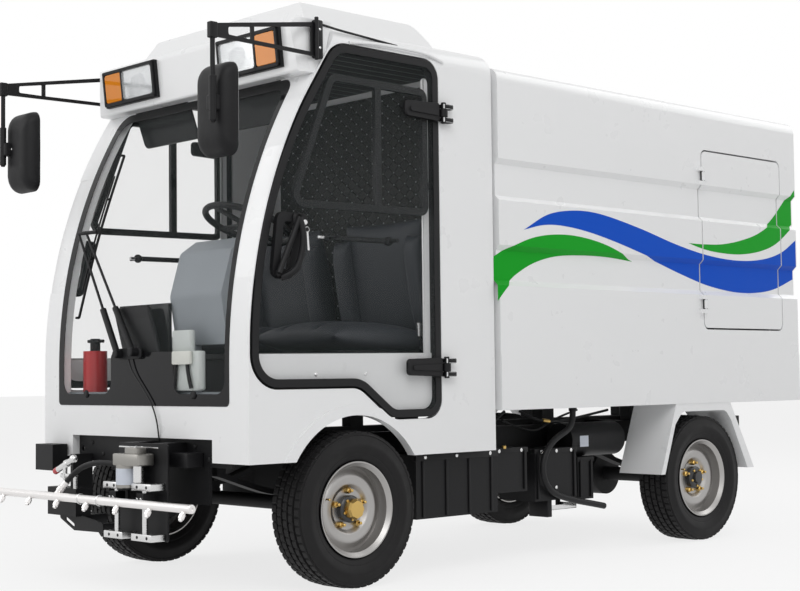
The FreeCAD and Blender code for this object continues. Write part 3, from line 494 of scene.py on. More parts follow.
def filled(outlines):
    """Flat mesh of an outline with holes, given as lists of 2-D points."""
    curve = bpy.data.curves.new("fill", "CURVE")
    curve.dimensions, curve.fill_mode = "2D", "BOTH"
    for outline in outlines:
        spline = curve.splines.new("POLY")
        spline.points.add(len(outline) - 1)
        for point, place in zip(spline.points, outline):
            point.co = (place[0], place[1], 0, 1)
        spline.use_cyclic_u = True
    return mesh_of_curve(curve)


def sliced(bm, low, high, step, axis):
    """Cuts the mesh by evenly spaced planes, so that it can be bent."""
    normal = Vector((0, 0, 0))
    normal[axis] = 1.0
    count = int((high - low) / step)
    for i in range(1, count):
        at = Vector((0, 0, 0))
        at[axis] = low + (high - low) * i / count
        bmesh.ops.bisect_plane(bm, geom=bm.verts[:] + bm.edges[:] + bm.faces[:], plane_co=at, plane_no=normal)


SHEET_THICK, SHEET_SLICE = 0.002, 0.03


def on_nose(outlines, proud):
    """A sheet that follows the curved nose; outlines are (y, height)."""
    bm = bmesh.new()
    bm.from_mesh(filled(outlines))
    sliced(bm, 0.6, 2.1, SHEET_SLICE, 1)
    for vert in bm.verts:
        across, height = vert.co.x, vert.co.y
        vert.co = (nose_x(height) + proud, across, height)
    bmesh.ops.recalc_face_normals(bm, faces=bm.faces)
    bmesh.ops.solidify(bm, geom=bm.faces[:], thickness=SHEET_THICK)
    return mesh_of("nose_sheet", bm)


FRIT = moulded("windscreen_border", rgb(0.008, 0.008, 0.009), 0.12, vary=0.05, depth=0.00005)
SCREEN_HALF = 0.586
SCREEN_LOW, SCREEN_HIGH = 0.697, 1.944


def add_windscreen_border():
    outer = rounded([(-SCREEN_HALF, SCREEN_LOW, 0.02), (SCREEN_HALF, SCREEN_LOW, 0.02),
                     (SCREEN_HALF, SCREEN_HIGH, 0.06), (-SCREEN_HALF, SCREEN_HIGH, 0.06)])
    inner = rounded([(-0.548, 0.743, 0.05), (-0.193, 0.743, 0.05), (-0.193, 0.905, 0.02),
                     (0.236, 0.905, 0.02),
                     (0.236, 0.743, 0.05), (0.560, 0.743, 0.05), (0.560, 1.905, 0.06), (-0.548, 1.905, 0.06)])
    mesh = on_nose([outer, inner], 0.0015)
    piece("windscreen_border", mesh, FRIT, "chassis", smooth=False)


add_windscreen_border()


# --- wheels ---------------------------------------------------------------------------------------
WHEELS = [(end, side_name, side) for end in ("front_", "rear_") for side_name, side in SIDES]
TREAD_BLOCKS = 56


def wheel_place(end, side_name):
    """Centre and radius of a tyre."""
    low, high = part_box(end + "tyre_" + side_name)
    return (low + high) / 2, (high.z - low.z) / 2


def tyre_rib(centre, radius, inner, y0, y1, notches, depth, phase):
    """One ring of the tread, its edge cut by small notches."""
    def build(bm):
        steps = notches * 6
        rows = []
        for i in range(steps):
            angle = 2 * math.pi * i / steps
            cut = depth if (i + phase) % 6 < 1 else 0.0
            ring = []
            for r, y in ((inner, y0), (radius - cut, y0 + 0.001), (radius - cut, y1 - 0.001), (inner, y1)):
                ring.append(bm.verts.new(centre + Vector((r * math.cos(angle), y, r * math.sin(angle)))))
            rows.append(ring)
        for i in range(steps):
            a, b = rows[i], rows[(i + 1) % steps]
            for k in range(3):
                bm.faces.new((a[k], a[k + 1], b[k + 1], b[k]))
    return build


def tyre_builders(centre, radius):
    """Carcass with raised sidewall rings, then five tread ribs between deep grooves."""
    base = radius - 0.008
    wall = [(0.1865, 0.066), (0.192, 0.072), (0.205, 0.0765), (0.208, 0.0785), (0.212, 0.0785),
            (0.215, 0.081),
            (0.236, 0.0868), (0.240, 0.088), (0.248, 0.088), (0.252, 0.0862), (0.270, 0.0835),
            (0.280, 0.0812),
            (0.2815, 0.083), (0.286, 0.0828), (base - 0.001, 0.076)]
    profile = [(r, -y) for r, y in wall] + [(r, y) for r, y in reversed(wall)]
    inside = [(0.170, 1.05), (0.170, 0.95), (profile[0][0], profile[0][1] + 1.0)]
    carcass = turned([(r, y + 1.0) for r, y in profile] + inside,
                     centre - Vector((0, 1, 0)), centre + Vector((0, 1, 0)), 96)
    ribs = []
    edges = [(-0.078, -0.052), (-0.044, -0.020), (-0.012, 0.012), (0.020, 0.044), (0.052, 0.078)]
    for k, (y0, y1) in enumerate(edges):
        outer = k in (0, 4)
        rib_radius = radius - (0.003 if outer else 0.0003)
        notch = 0.005 if outer else 0.004
        ribs.append(tyre_rib(centre, rib_radius, base - 0.004, y0, y1, TREAD_BLOCKS, notch, k * 2))
    return [carcass] + ribs


def add_tyres():
    for end, side_name, _ in WHEELS:
        mesh = joined_mesh("tyre", *tyre_builders(*wheel_place(end, side_name)))
        name = end + "tyre_" + side_name
        tyre = piece(name + "_tread", mesh, TYRE, end + "wheel_" + side_name)
        mesh.set_sharp_from_angle(angle=math.radians(35))
        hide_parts(name)


BRASS = metal("brass_studs", rgb(0.62, 0.42, 0.14), 0.3, (1, 1, 1))
HUB_BLACK = painted("hub_black", rgb(0.012, 0.012, 0.013), 0.35, coat=0.3)
LUG_CIRCLE, LUGS = 0.070, 5


def nut(start, end, radius):
    tall = (Vector(end) - Vector(start)).length
    return turned([(0, 0), (radius, 0), (radius, 0.8 * tall), (radius * 0.7, tall), (0, tall)], start, end, 6)


def add_hubs():
    for end, side_name, side in WHEELS:
        centre = wheel_place(end, side_name)[0]
        out = Vector((0, side, 0))
        face = centre + out * 0.014
        black = [turned([(0, 0), (0.052, 0), (0.052, 0.020), (0.046, 0.026), (0.040, 0.028), (0, 0.028)],
                        face, face + out, 40)]
        brass = []
        for i in range(LUGS):
            angle = 2 * math.pi * i / LUGS + 0.3
            spot = centre + Vector((math.cos(angle), 0, math.sin(angle))) * LUG_CIRCLE + out * 0.014
            brass.append(nut(spot, spot + out * 0.020, 0.0125))
            brass.append(pin(spot + out * 0.018, spot + out * 0.034, 0.006))
            spot = centre + Vector((math.cos(angle + 0.63), 0, math.sin(angle + 0.63))) * 0.040 + out * 0.040
            brass.append(nut(spot, spot + out * 0.008, 0.006))
        if end == "front_":
            brass.append(turned([(0, 0), (0.040, 0), (0.040, 0.022), (0.034, 0.032), (0, 0.034)],
                                face + out * 0.028, face + out, 8))
        else:
            black.append(turned([(0, 0), (0.030, 0), (0.027, 0.012), (0, 0.014)], face + out * 0.028,
                                face + out, 32))
        body = end + "wheel_" + side_name
        mesh = joined_mesh("hub", *black)
        piece("%shub_%s" % (end, side_name), mesh, HUB_BLACK, body)
        mesh.set_sharp_from_angle(angle=math.radians(35))
        mesh = joined_mesh("studs", *brass)
        piece("%sstuds_%s" % (end, side_name), mesh, BRASS, body, smooth=False)
        valve = centre + Vector((0.125, 0, 0.045)) + out * 0.040
        piece("%svalve_%s" % (end, side_name),
              joined_mesh("valve", pin(valve, valve + out * 0.03 + Vector((0.01, 0, 0)), 0.004)),
              BRASS, body)


add_tyres()
add_hubs()


# --- brow lamps -----------------------------------------------------------------------------------
LENS = clear("lamp_lens", rgb(0.9, 0.92, 0.93), 0.18)
AMBER = clear("amber_lens", rgb(0.85, 0.28, 0.02), 0.85)
CHROME = metal("lamp_chrome", rgb(0.85, 0.86, 0.87), 0.12, (1, 1, 1))
BROW_LEAN = 22.0 / 204.0
LAMP_X0 = AXLE_X + 0.254 + 0.016 + BROW_LEAN * 0.027


def brow_point(across, height, proud=0.0):
    """A point on the lamp housing's front face."""
    return Vector((LAMP_X0 + (height - 1.975) * BROW_LEAN + proud, across, height))


def on_brow(y0, y1, z0, z1, proud0, proud1, corner=0.012):
    outline = [(y0, z0, corner), (y1, z0, corner), (y1, z1, corner), (y0, z1, corner)]
    return mapped(slab(outline, "x", proud0, proud1, 0.002, 5), lambda co: brow_point(co.y, co.z, co.x))


def add_lamps():
    for side_name, side in SIDES:
        rims = []
        for y0, y1, z0, z1 in ((0.222, 0.596, 1.979, 1.991), (0.222, 0.596, 2.114, 2.126),
                               (0.222, 0.234, 1.979, 2.126),
                               (0.584, 0.596, 1.979, 2.126), (0.452, 0.462, 1.979, 2.126)):
            rims.append(on_side(on_brow(y0, y1, z0, z1, 0.0, 0.010, 0.003), side))
        piece("lamp_rim_" + side_name, joined_mesh("rim", *rims), PLASTIC, "chassis",
              smooth=False)
        bowl = on_side(on_brow(0.236, 0.450, 1.993, 2.112, 0.0005, 0.003, 0.02), side)
        piece("lamp_bowl_" + side_name, joined_mesh("bowl", bowl), CHROME, "chassis",
              smooth=False)
        lamp = brow_point(0.343 * side, 2.052, 0.003)
        round_lamp = turned([(0.052, 0), (0.050, 0.003), (0.030, 0.004), (0.018, 0.006), (0, 0.0065)],
                            lamp, lamp + Vector((1, 0, 0)), 40)
        piece("lamp_bulb_" + side_name, joined_mesh("bulb", round_lamp), LENS, "chassis")
        cover = on_side(on_brow(0.235, 0.451, 1.992, 2.113, 0.0072, 0.009, 0.015), side)
        piece("lamp_cover_" + side_name, joined_mesh("cover", cover), LENS, "chassis",
              smooth=False)
        amber = on_side(on_brow(0.463, 0.583, 1.992, 2.113, 0.001, 0.008, 0.012), side)
        piece("lamp_amber_" + side_name, joined_mesh("amber", amber), AMBER, "chassis",
              smooth=False)


add_lamps()


# --- cords ----------------------------------------------------------------------------------------
def route(points):
    """The cord's points, given in metres from the front axle, in the frame."""
    return [(x + AXLE_X, y, z) for x, y, z in points]


def add_cord(name, node, points, radius):
    curve = nurbs_curve(name, points, radius, 10)
    curve.materials.append(HOSE)
    cord = bpy.data.objects.new(name, curve)
    bpy.context.scene.collection.objects.link(cord)
    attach(cord, "chassis")
    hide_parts(node)
    return cord


WIPER_CABLE = route([(0.527, -0.048, 0.880), (0.527, -0.036, 0.848), (0.525, -0.006, 0.812),
                     (0.524, 0.032, 0.778),
                     (0.524, 0.070, 0.742), (0.524, 0.108, 0.702), (0.524, 0.134, 0.656),
                     (0.523, 0.146, 0.612),
                     (0.520, 0.147, 0.578), (0.508, 0.139, 0.552), (0.495, 0.122, 0.542),
                     (0.4835, 0.104, 0.540)])
FRONT_HOSE = route([(0.7128, -0.1966, 0.4065), (0.6962, -0.1702, 0.4409), (0.682, -0.116, 0.469),
                    (0.664, -0.060, 0.481), (0.644, -0.008, 0.481), (0.628, 0.036, 0.474)])
DRAIN_HOSE = route([(-1.392, 0.600, 0.636), (-1.392, 0.600, 0.590), (-1.356, 0.600, 0.552),
                    (-1.300, 0.601, 0.531),
                    (-1.246, 0.602, 0.503), (-1.202, 0.602, 0.459), (-1.180, 0.601, 0.402),
                    (-1.190, 0.600, 0.342),
                    (-1.228, 0.599, 0.294), (-1.287, 0.598, 0.266), (-1.357, 0.598, 0.247),
                    (-1.432, 0.600, 0.231),
                    (-1.512, 0.601, 0.217), (-1.600, 0.602, 0.200)])


def add_cords():
    cable = add_cord("wiper_lead", "wiper_cable", WIPER_CABLE, 0.003)
    hose = add_cord("spray_hose", "front_hose", FRONT_HOSE, 0.011)
    drain = add_cord("drain_hose_wrapped", "drain_hose", DRAIN_HOSE, 0.014)


add_cords()


# --- more shapes ----------------------------------------------------------------------------------
# From here on lengths are in metres and x is measured forward from the front axle.
SHARP = math.radians(35)
SLOTS = {finish.name: slot for slot, finish in FINISH.items()}
SLOTS.update(cast_alloy="bright_steel", lamp_chrome="bright_steel", brass_studs="bright_steel",
             blank_label="white_paint", quilted_lining="seat_cover", screen_black="black_plastic",
             tail_lens="clear_glass", amber_lens="clear_glass", reservoir_plastic="tank_plastic")


def drawn(name, material, body, *builders, slot=None, replaces=()):
    """Builders as one finished piece, moved from the axle's place to the frame's."""
    mesh = joined_mesh(name, *builders)
    mesh.transform(Matrix.Translation((AXLE_X, 0, 0)))
    thing = piece(name, mesh, material, body)
    mesh.set_sharp_from_angle(angle=SHARP)
    if replaces:
        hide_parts(*replaces)
    return thing


def plate(outlines, axis, low, high):
    """A flat plate with holes: the first outline is its edge, the others are cut out."""
    def build(bm):
        flat = bmesh.new()
        mesh = filled([rounded(outline) for outline in outlines])
        flat.from_mesh(mesh)
        bpy.data.meshes.remove(mesh)
        bmesh.ops.recalc_face_normals(flat, faces=flat.faces)
        sides = bmesh.ops.extrude_face_region(flat, geom=flat.faces[:])["geom"]
        top = {v for v in sides if isinstance(v, bmesh.types.BMVert)}
        for vert in flat.verts:
            vert.co = AXES[axis](vert.co.x, vert.co.y, high if vert in top else low)
        whole = bpy.data.meshes.new("plate")
        flat.to_mesh(whole)
        flat.free()
        bm.from_mesh(whole)
        bpy.data.meshes.remove(whole)
    return build


def ball(centre, radius):
    steps = 10
    profile = [(radius * math.sin(math.pi * i / steps), radius * (1 - math.cos(math.pi * i / steps)))
               for i in range(steps + 1)]
    low = Vector(centre) - Vector((0, 0, radius))
    return turned(profile, low, low + Vector((0, 0, 1)), 24)


def hoop(centre, radius, thick):
    """A thin round ring about a line across the vehicle."""
    def build(bm):
        count, around = 40, 10
        rows = []
        for i in range(count):
            a = 2 * math.pi * i / count
            row = []
            for k in range(around):
                b = 2 * math.pi * k / around
                r, out = radius + thick * math.cos(b), thick * math.sin(b)
                flat = AXES["y"](r * math.cos(a), r * math.sin(a), out)
                row.append(bm.verts.new(Vector(centre) + flat))
            rows.append(row)
        for i in range(count):
            one, two = rows[i], rows[(i + 1) % count]
            for k in range(around):
                bm.faces.new((one[k], one[(k + 1) % around], two[(k + 1) % around], two[k]))
    return build


def screw(centre, out, radius=0.007):
    start = Vector(centre)
    return turned([(radius, 0), (radius, 0.002), (radius * 0.6, 0.004), (0, 0.004)], start,
                  start + Vector(out), 16)


def tube(points, radius):
    return add_mesh(mesh_of_curve(nurbs_curve("tube", points, radius, 8)))


# --- cab doors ------------------------------------------------------------------------------------
DOOR_FACE = 0.705
DOOR_HINGES = (0.834, 1.862)
DOOR_PANEL_LOW = [(-0.427, 0.670, 0.05), (-0.200, 0.670, 0.10), (-0.034, 0.795, 0.12), (0.468, 0.795, 0.10),
                  (0.470, 0.890, 0.002), (-0.427, 0.893, 0.002)]


def add_door_details():
    for side_name, side in SIDES:
        body = "cab_door_" + side_name

        def put(name, material, *builders):
            drawn("%s_%s" % (name, side_name), material, body, *[on_side(b, side) for b in builders])

        put("door_panel", WHITE, slab(DOOR_PANEL_LOW, "y", 0.6795, 0.6815, 0.0005),
            slab(DOOR_PANEL_LOW, "y", 0.6660, 0.6685, 0.0005),
            slab([(-0.427, 0.700), (-0.392, 0.700), (-0.392, 2.000, 0.02), (-0.427, 2.010, 0.02)], "y",
                 0.669, 0.675))
        put("door_screws", BRIGHT, *[screw((x, 0.6815, 0.811), (0, 1, 0)) for x in (0.183, -0.067)])
        put("door_grip", PLASTIC,
            plate([[(0.262, 1.400, 0.025), (0.392, 1.412, 0.035), (0.422, 1.165, 0.035),
                    (0.325, 1.158, 0.035)],
                   [(0.305, 1.370, 0.012), (0.365, 1.375, 0.02), (0.385, 1.200, 0.02),
                    (0.345, 1.195, 0.012)]],
                  "y", DOOR_FACE - 0.0015, DOOR_FACE + 0.018),
            slab([(0.255, 1.340, 0.012), (0.255, 1.402, 0.02), (0.330, 1.410, 0.02), (0.320, 1.340, 0.012)],
                 "y", DOOR_FACE, DOOR_FACE + 0.030, 0.006),
            tube([(0.300, 0.735, 1.385), (0.290, 0.748, 1.340), (0.300, 0.748, 1.250), (0.335, 0.745, 1.180),
                  (0.380, 0.722, 1.165)], 0.013))
        put("door_lock", BRIGHT, pin((0.278, 0.730, 1.372), (0.278, 0.744, 1.372), 0.010),
            slab([(0.262, 1.268, 0.003), (0.271, 1.268, 0.003), (0.276, 1.338, 0.003),
                  (0.268, 1.338, 0.003)], "y", 0.744, 0.746),
            hoop((0.273, 0.745, 1.345), 0.010, 0.0012))
        put("door_rod", BRIGHT, pin((0.128, 0.640, 1.333), (-0.270, 0.640, 1.335), 0.007))
        put("door_rod_knobs", PLASTIC, ball((0.086, 0.640, 1.333), 0.019),
            ball((-0.233, 0.640, 1.335), 0.019), pin((0.066, 0.640, 1.333), (-0.215, 0.640, 1.335), 0.011),
            pin((0.086, 0.640, 1.333), (0.086, 0.697, 1.333), 0.008),
            pin((-0.233, 0.640, 1.335), (-0.233, 0.697, 1.335), 0.008))
        hinges = []
        for height in DOOR_HINGES:
            leaf = [(-0.258, height - 0.030, 0.018), (-0.258, height + 0.034, 0.018),
                    (-0.452, height + 0.040, 0.010), (-0.452, height - 0.036, 0.010)]
            rib = [(-0.282, height - 0.010, 0.008), (-0.282, height + 0.010, 0.008),
                   (-0.440, height + 0.014, 0.006), (-0.440, height - 0.014, 0.006)]
            hinges += [slab(leaf, "y", DOOR_FACE + 0.0005, DOOR_FACE + 0.019, 0.005),
                       slab(rib, "y", DOOR_FACE + 0.019, DOOR_FACE + 0.025, 0.003),
                       pin((-0.470, 0.724, height - 0.0165), (-0.470, 0.724, height + 0.0165), 0.017)]
        put("door_hinge_covers", PLASTIC, *hinges)
        sleeves = [pin((-0.470, 0.724, height - 0.043), (-0.470, 0.724, height + 0.043), 0.0105)
                   for height in DOOR_HINGES]
        drawn("door_hinge_pins_" + side_name, PLASTIC, "chassis",
              *[on_side(b, side) for b in sleeves])
        brackets = [block(-0.522, -0.461, 0.7003, 0.7345,
                          height + low - 0.001, height + low + 0.019, 0.003, 0.008)
                    for height in DOOR_HINGES for low in (-0.036, 0.018)]
        drawn("door_hinge_brackets_" + side_name, PLASTIC, "chassis",
              *[on_side(b, side) for b in brackets])
        drip = [(0.020, 0.703, 2.084), (-0.060, 0.704, 2.097), (-0.250, 0.704, 2.102), (-0.420, 0.704, 2.098),
                (-0.490, 0.703, 2.075)]
        drawn("drip_rail_" + side_name, WHITE, "chassis", on_side(tube(drip, 0.007), side))


# --- mirrors --------------------------------------------------------------------------------------
MIRROR_ARM_START, MIRROR_ARM_END = Vector((0.186, 0.706)), Vector((0.694, 0.737))


def along_arm(co):
    """Bends a plate drawn as (share along the arm, offset, height) into the arm's upright plane."""
    flat = MIRROR_ARM_START.lerp(MIRROR_ARM_END, co.x)
    return Vector((flat.x, flat.y + co.y, co.z))


def dome(centre_y, centre_z, half_y, half_z, corner, x0, deep):
    """Mirror head: a flat rim with a smooth bulging back."""
    def build(bm):
        outline = rounded([(-half_y, -half_z, corner), (half_y, -half_z, corner), (half_y, half_z, corner),
                           (-half_y, half_z, corner)], 8)
        steps = 9
        rings = []
        for k in range(steps):
            t = k / steps * math.pi / 2
            share = math.cos(t) ** 0.42
            rings.append([bm.verts.new((x0 + deep * math.sin(t), centre_y + p.x * share,
                                        centre_z + p.y * share))
                          for p in outline])
        tip = bm.verts.new((x0 + deep, centre_y, centre_z))
        bridged(bm, rings)
        for i in range(len(outline)):
            bm.faces.new((rings[-1][i], rings[-1][(i + 1) % len(outline)], tip))
        bm.faces.new(rings[0])
    return build


def add_mirrors():
    end_x, end_y = MIRROR_ARM_END
    arm = plate([[(0.0, 2.006), (1.0, 2.006), (1.0, 2.052), (0.0, 2.138)],
                 [(0.06, 2.020, 0.004), (0.62, 2.020, 0.004), (0.62, 2.070, 0.004), (0.06, 2.116, 0.004)],
                 [(0.65, 2.020, 0.004), (0.86, 2.022, 0.010), (0.86, 2.050, 0.010), (0.65, 2.067, 0.004)]],
                "y", -0.004, 0.004)
    for side_name, side in SIDES:
        parts = [mapped(arm, along_arm), block(0.160, 0.200, 0.6905, 0.716, 2.000, 2.146, 0.004, 0.006),
                 pin((0.196, 0.718, 1.992), (0.196, 0.718, 2.154), 0.008),
                 pin((end_x, end_y, 2.056), (end_x, end_y, 1.700), 0.009),
                 pin((end_x, end_y, 1.866), (end_x, end_y, 1.706), 0.0135),
                 block(end_x - 0.016, end_x + 0.016, end_y - 0.012, end_y + 0.012, 2.000, 2.056,
                       0.002, 0.004),
                 block(0.655, 0.700, 0.705, 0.745, 1.745, 1.800, 0.004, 0.006),
                 tube([(0.196, 0.700, 2.140), (0.10, 0.686, 2.132), (-0.10, 0.684, 2.122),
                       (-0.251, 0.684, 2.112)], 0.0045),
                 dome(0.678, 1.759, 0.094, 0.168, 0.042, 0.607, 0.068)]
        drawn("mirror_" + side_name, PLASTIC, "chassis", *[on_side(b, side) for b in parts],
              replaces=("mirrors",) if side > 0 else ())
        pane = slab([(0.588, 1.596, 0.038), (0.768, 1.596, 0.038), (0.768, 1.922, 0.038),
                     (0.588, 1.922, 0.038)], "x", 0.6035, 0.6065)
        drawn("mirror_glass_" + side_name, CHROME, "chassis", on_side(pane, side))
        drawn("mirror_screws_" + side_name, BRIGHT, "chassis",
              *[on_side(b, side) for b in (screw((0.674, 0.700, 1.772), (1, 0, 0), 0.005),
                                           screw((0.178, 0.716, 2.040), (0, 1, 0), 0.005),
                                           screw((0.178, 0.716, 2.110), (0, 1, 0), 0.005))])


# --- wiper ----------------------------------------------------------------------------------------
def on_screen(across, height, proud):
    return Vector((nose_x(height) - AXLE_X + proud, across, height))


def add_wiper():
    pivots = [Vector((0.546, -0.098, 0.901)), Vector((0.546, 0.008, 0.907))]
    elbows = [on_screen(-0.505, 1.412, 0.036), on_screen(-0.446, 1.411, 0.036)]
    covers = [pin(p, p.lerp(e, 0.36), 0.013, 0.004) for p, e in zip(pivots, elbows)]
    arms = [pin(p.lerp(e, 0.30), e, 0.0055) for p, e in zip(pivots, elbows)]
    nuts = [pin(p - Vector((0.034, 0, 0)), p + Vector((0.016, 0, 0)), 0.017, 0.004) for p in pivots]
    heights = (1.056, 1.171, 1.300, 1.420, 1.550, 1.650, 1.743)
    across = (-0.433, -0.408, -0.390, -0.382, -0.378, -0.384, -0.398)
    blade = [on_screen(y, z, 0.0095) for y, z in zip(across, heights)]
    spine = [on_screen(y, z, 0.024) for y, z in zip(across, heights)][1:-1]
    claws = [pin(on_screen(y, z, 0.008), on_screen(y, z, 0.026), 0.005)
             for y, z in zip(across[::2], heights[::2])]
    link = [pin(elbows[0], elbows[1], 0.008), pin(elbows[1], on_screen(-0.382, 1.411, 0.026), 0.008)]
    base = slab([(-0.128, 0.880, 0.015), (0.038, 0.880, 0.015), (0.038, 0.926, 0.02), (-0.128, 0.922, 0.02)],
                "x", 0.5165, 0.530, 0.004)
    drawn("wiper_arms", PLASTIC, "chassis", base, *covers, *arms, *nuts, *link, *claws,
          tube(blade, 0.0055), tube(spine, 0.004), replaces=("wiper",))
    knobs = [turned([(0.016, 0), (0.016, 0.004), (0.011, 0.008), (0, 0.008)], (0.5155, y, z), (0.6, y, z), 24)
             for y, z in ((-0.372, 0.743), (0.369, 0.740))]
    drawn("screen_knobs", PLASTIC, "chassis", *knobs)


# --- spray gear -----------------------------------------------------------------------------------
MOUNT_FACE, GUIDE_AT = 0.608, 0.650
BAR_AT = Vector((0.740, 0, 0.347))
NOZZLES, NOZZLE_STEP = 7, 0.209
CAST = metal("cast_alloy", rgb(0.34, 0.33, 0.31), 0.42, (1, 1, 1))
LABEL = painted("blank_label", rgb(0.62, 0.66, 0.74), 0.4)


def add_spray_mount():
    drawn("mount_plate", BLACK, "chassis", slab([(0.008, 0.198, 0.01), (0.330, 0.198, 0.01),
          (0.330, 0.560, 0.012), (0.008, 0.560, 0.012)], "x", 0.600, MOUNT_FACE, 0.001),
          replaces=("spray_mount",))
    bright = [pin((GUIDE_AT, y, 0.200), (GUIDE_AT, y, 0.412), 0.010) for y in (0.060, 0.245)]
    bright.append(block(MOUNT_FACE, 0.6095, 0.010, 0.272, 0.541, 0.546, 0.0005, 0.001))
    # flat black discs on the blocks' faces: painted shade standing in for the holes
    hole_shade_discs = []
    for y0, y1, z0, z1 in ((0.185, 0.314, 0.387, 0.413), (-0.006, 0.092, 0.387, 0.413),
                           (-0.002, 0.123, 0.201, 0.227), (0.184, 0.317, 0.201, 0.227)):
        bright.append(block(MOUNT_FACE, 0.672, y0, y1, z0, z1, 0.0015, 0.003))
        for share in (0.30, 0.78):
            y = y0 + (y1 - y0) * share
            hole_shade_discs.append(pin((0.660, y, (z0 + z1) / 2), (0.6728, y, (z0 + z1) / 2), 0.006, 0.0002))
    drawn("mount_blocks", BRIGHT, "chassis", *bright)
    # the painted shade of the holes, as black discs
    drawn("mount_block_hole_shade", BLACK, "chassis", *hole_shade_discs)
    stub = [pin((0.608, 0.091, 0.465), (0.6285, 0.0345, 0.4743), 0.0125)]
    drawn("hose_stub", BRIGHT, "chassis", *stub)


def add_actuator():
    drawn("lift_gearbox", CAST, "chassis", block(0.612, 0.690, 0.084, 0.256, 0.478, 0.522, 0.004, 0.010),
          block(0.625, 0.680, 0.150, 0.226, 0.520, 0.546, 0.003, 0.010),
          pin((GUIDE_AT, 0.130, 0.392), (GUIDE_AT, 0.130, 0.482), 0.043, 0.003),
          block(0.608, 0.640, 0.100, 0.160, 0.420, 0.470, 0.002, 0.004), replaces=("lift_actuator",))
    drawn("lift_tube", BRIGHT, "chassis", pin((GUIDE_AT, 0.203, 0.414), (GUIDE_AT, 0.203, 0.480), 0.021),
          pin((GUIDE_AT, 0.203, 0.480), (GUIDE_AT, 0.203, 0.486), 0.024),
          *[screw((0.652 + dx, 0.188 + dy, 0.546), (0, 0, 1), 0.005)
            for dx in (-0.015, 0.015) for dy in (-0.02, 0.02)])
    drawn("lift_motor_end", BLACK, "chassis", pin((GUIDE_AT, 0.130, 0.386), (GUIDE_AT, 0.130, 0.393), 0.040))
    drawn("lift_label", LABEL, "chassis", turned([(0.0425, 0), (0.0436, 0.001), (0.0436, 0.061),
          (0.0425, 0.062)], (GUIDE_AT, 0.130, 0.405), (GUIDE_AT, 0.130, 1.0), 40))


def add_spray_bar():
    half = 0.668
    start, end = BAR_AT - Vector((0, half, 0)), BAR_AT + Vector((0, half, 0))
    parts = [turned([(0.006, 0.004), (0.006, 0), (0.0145, 0), (0.016, 0.0015), (0.016, 2 * half - 0.0015),
                     (0.0145, 2 * half), (0.006, 2 * half), (0.006, 2 * half - 0.004), (0, 2 * half - 0.004)],
                    start, end, 32)]
    for i in range(NOZZLES):
        root = BAR_AT + Vector((0, (i - (NOZZLES - 1) / 2) * NOZZLE_STEP, 0))
        way = Vector((0.022, 0, -0.040)).normalized()
        parts += [turned([(0.0085, 0.010), (0.0085, 0.024), (0, 0.024)], root, root + way, 16),
                  turned([(0, 0.022), (0.0115, 0.022), (0.0115, 0.038), (0.0095, 0.040), (0, 0.040)], root,
                         root + way, 6),
                  turned([(0, 0.038), (0.008, 0.038), (0.008, 0.045), (0.005, 0.048), (0, 0.0455)], root,
                         root + way, 16)]
    fitting = (Vector((0.740, -0.240, 0.350)), Vector((0.713, -0.197, 0.406)))
    length = (fitting[1] - fitting[0]).length
    parts.append(turned([(0, 0.008), (0.011, 0.008), (0.011, 0.026), (0.0145, 0.026), (0.0145, 0.046),
                         (0.0125, 0.047),
                         (0.013, length - 0.001), (0, length)], fitting[0], fitting[1], 24))
    drawn("spray_pipe", BAR, "spray_lift", *parts, replaces=("spray_bar",))
    clamps = [hoop(BAR_AT + Vector((-0.002, y, 0)), 0.0185, 0.0024) for y in (-0.058, 0.074)]
    clamps += [pin((0.700, y, 0.333), (0.740, y, 0.3275), 0.003) for y in (-0.058, 0.074)]
    drawn("bar_clamps", BRIGHT, "spray_lift", *clamps)
    bolts = [nut(Vector((0.672, y, 0.355)), Vector((0.680, y, 0.355)), 0.007)
             for y in (0.048, 0.072, 0.233, 0.257)]
    drawn("carriage_bolts", BRIGHT, "spray_lift", *bolts)


def add_valve():
    body = [pin((0.640, -0.385, 0.441), (0.640, -0.262, 0.490), 0.0125), ball((0.640, -0.268, 0.488), 0.017),
            pin((0.640, -0.332, 0.462), (0.640, -0.332, 0.370), 0.009),
            pin((0.640, -0.360, 0.419), (0.640, -0.246, 0.421), 0.008),
            nut(Vector((0.640, -0.332, 0.425)), Vector((0.640, -0.332, 0.408)), 0.014),
            pin((0.640, -0.256, 0.421), (0.640, -0.256, 0.370), 0.008),
            nut(Vector((0.640, -0.310, 0.471)), Vector((0.640, -0.326, 0.465)), 0.0165)]
    drawn("front_valve", BRIGHT, "chassis", *body)
    drawn("front_valve_knob", RED, "chassis",
          pin((0.640, -0.408, 0.432), (0.640, -0.384, 0.4415), 0.013, 0.003))
    slotted = plate([[(-0.452, 0.258, 0.01), (-0.313, 0.201, 0.02), (-0.103, 0.205, 0.01),
                      (-0.103, 0.240, 0.01),
                      (-0.300, 0.270, 0.01)],
                     [(-0.395, 0.246, 0.008), (-0.318, 0.213, 0.008), (-0.300, 0.222, 0.008),
                      (-0.372, 0.252, 0.006)]],
                    "x", 0.604, 0.610)
    drawn("slotted_bracket", BLACK, "chassis", slotted,
          block(0.482, 0.604, -0.300, -0.270, 0.222, 0.262, 0.002, 0.003),
          block(0.482, 0.608, -0.135, -0.105, 0.210, 0.238, 0.002, 0.003),
          block(0.482, 0.560, 0.236, 0.386, 0.470, 0.524, 0.003, 0.005))
    bolts = [screw((0.4822, y, z), (1, 0, 0), 0.009)
             for y, z in ((-0.500, 0.520), (-0.380, 0.545), (-0.300, 0.500), (0.330, 0.545),
                          (0.420, 0.500), (0.500, 0.540))]
    drawn("front_plate_bolts", IRON, "chassis", *bolts, slot="black_metal")


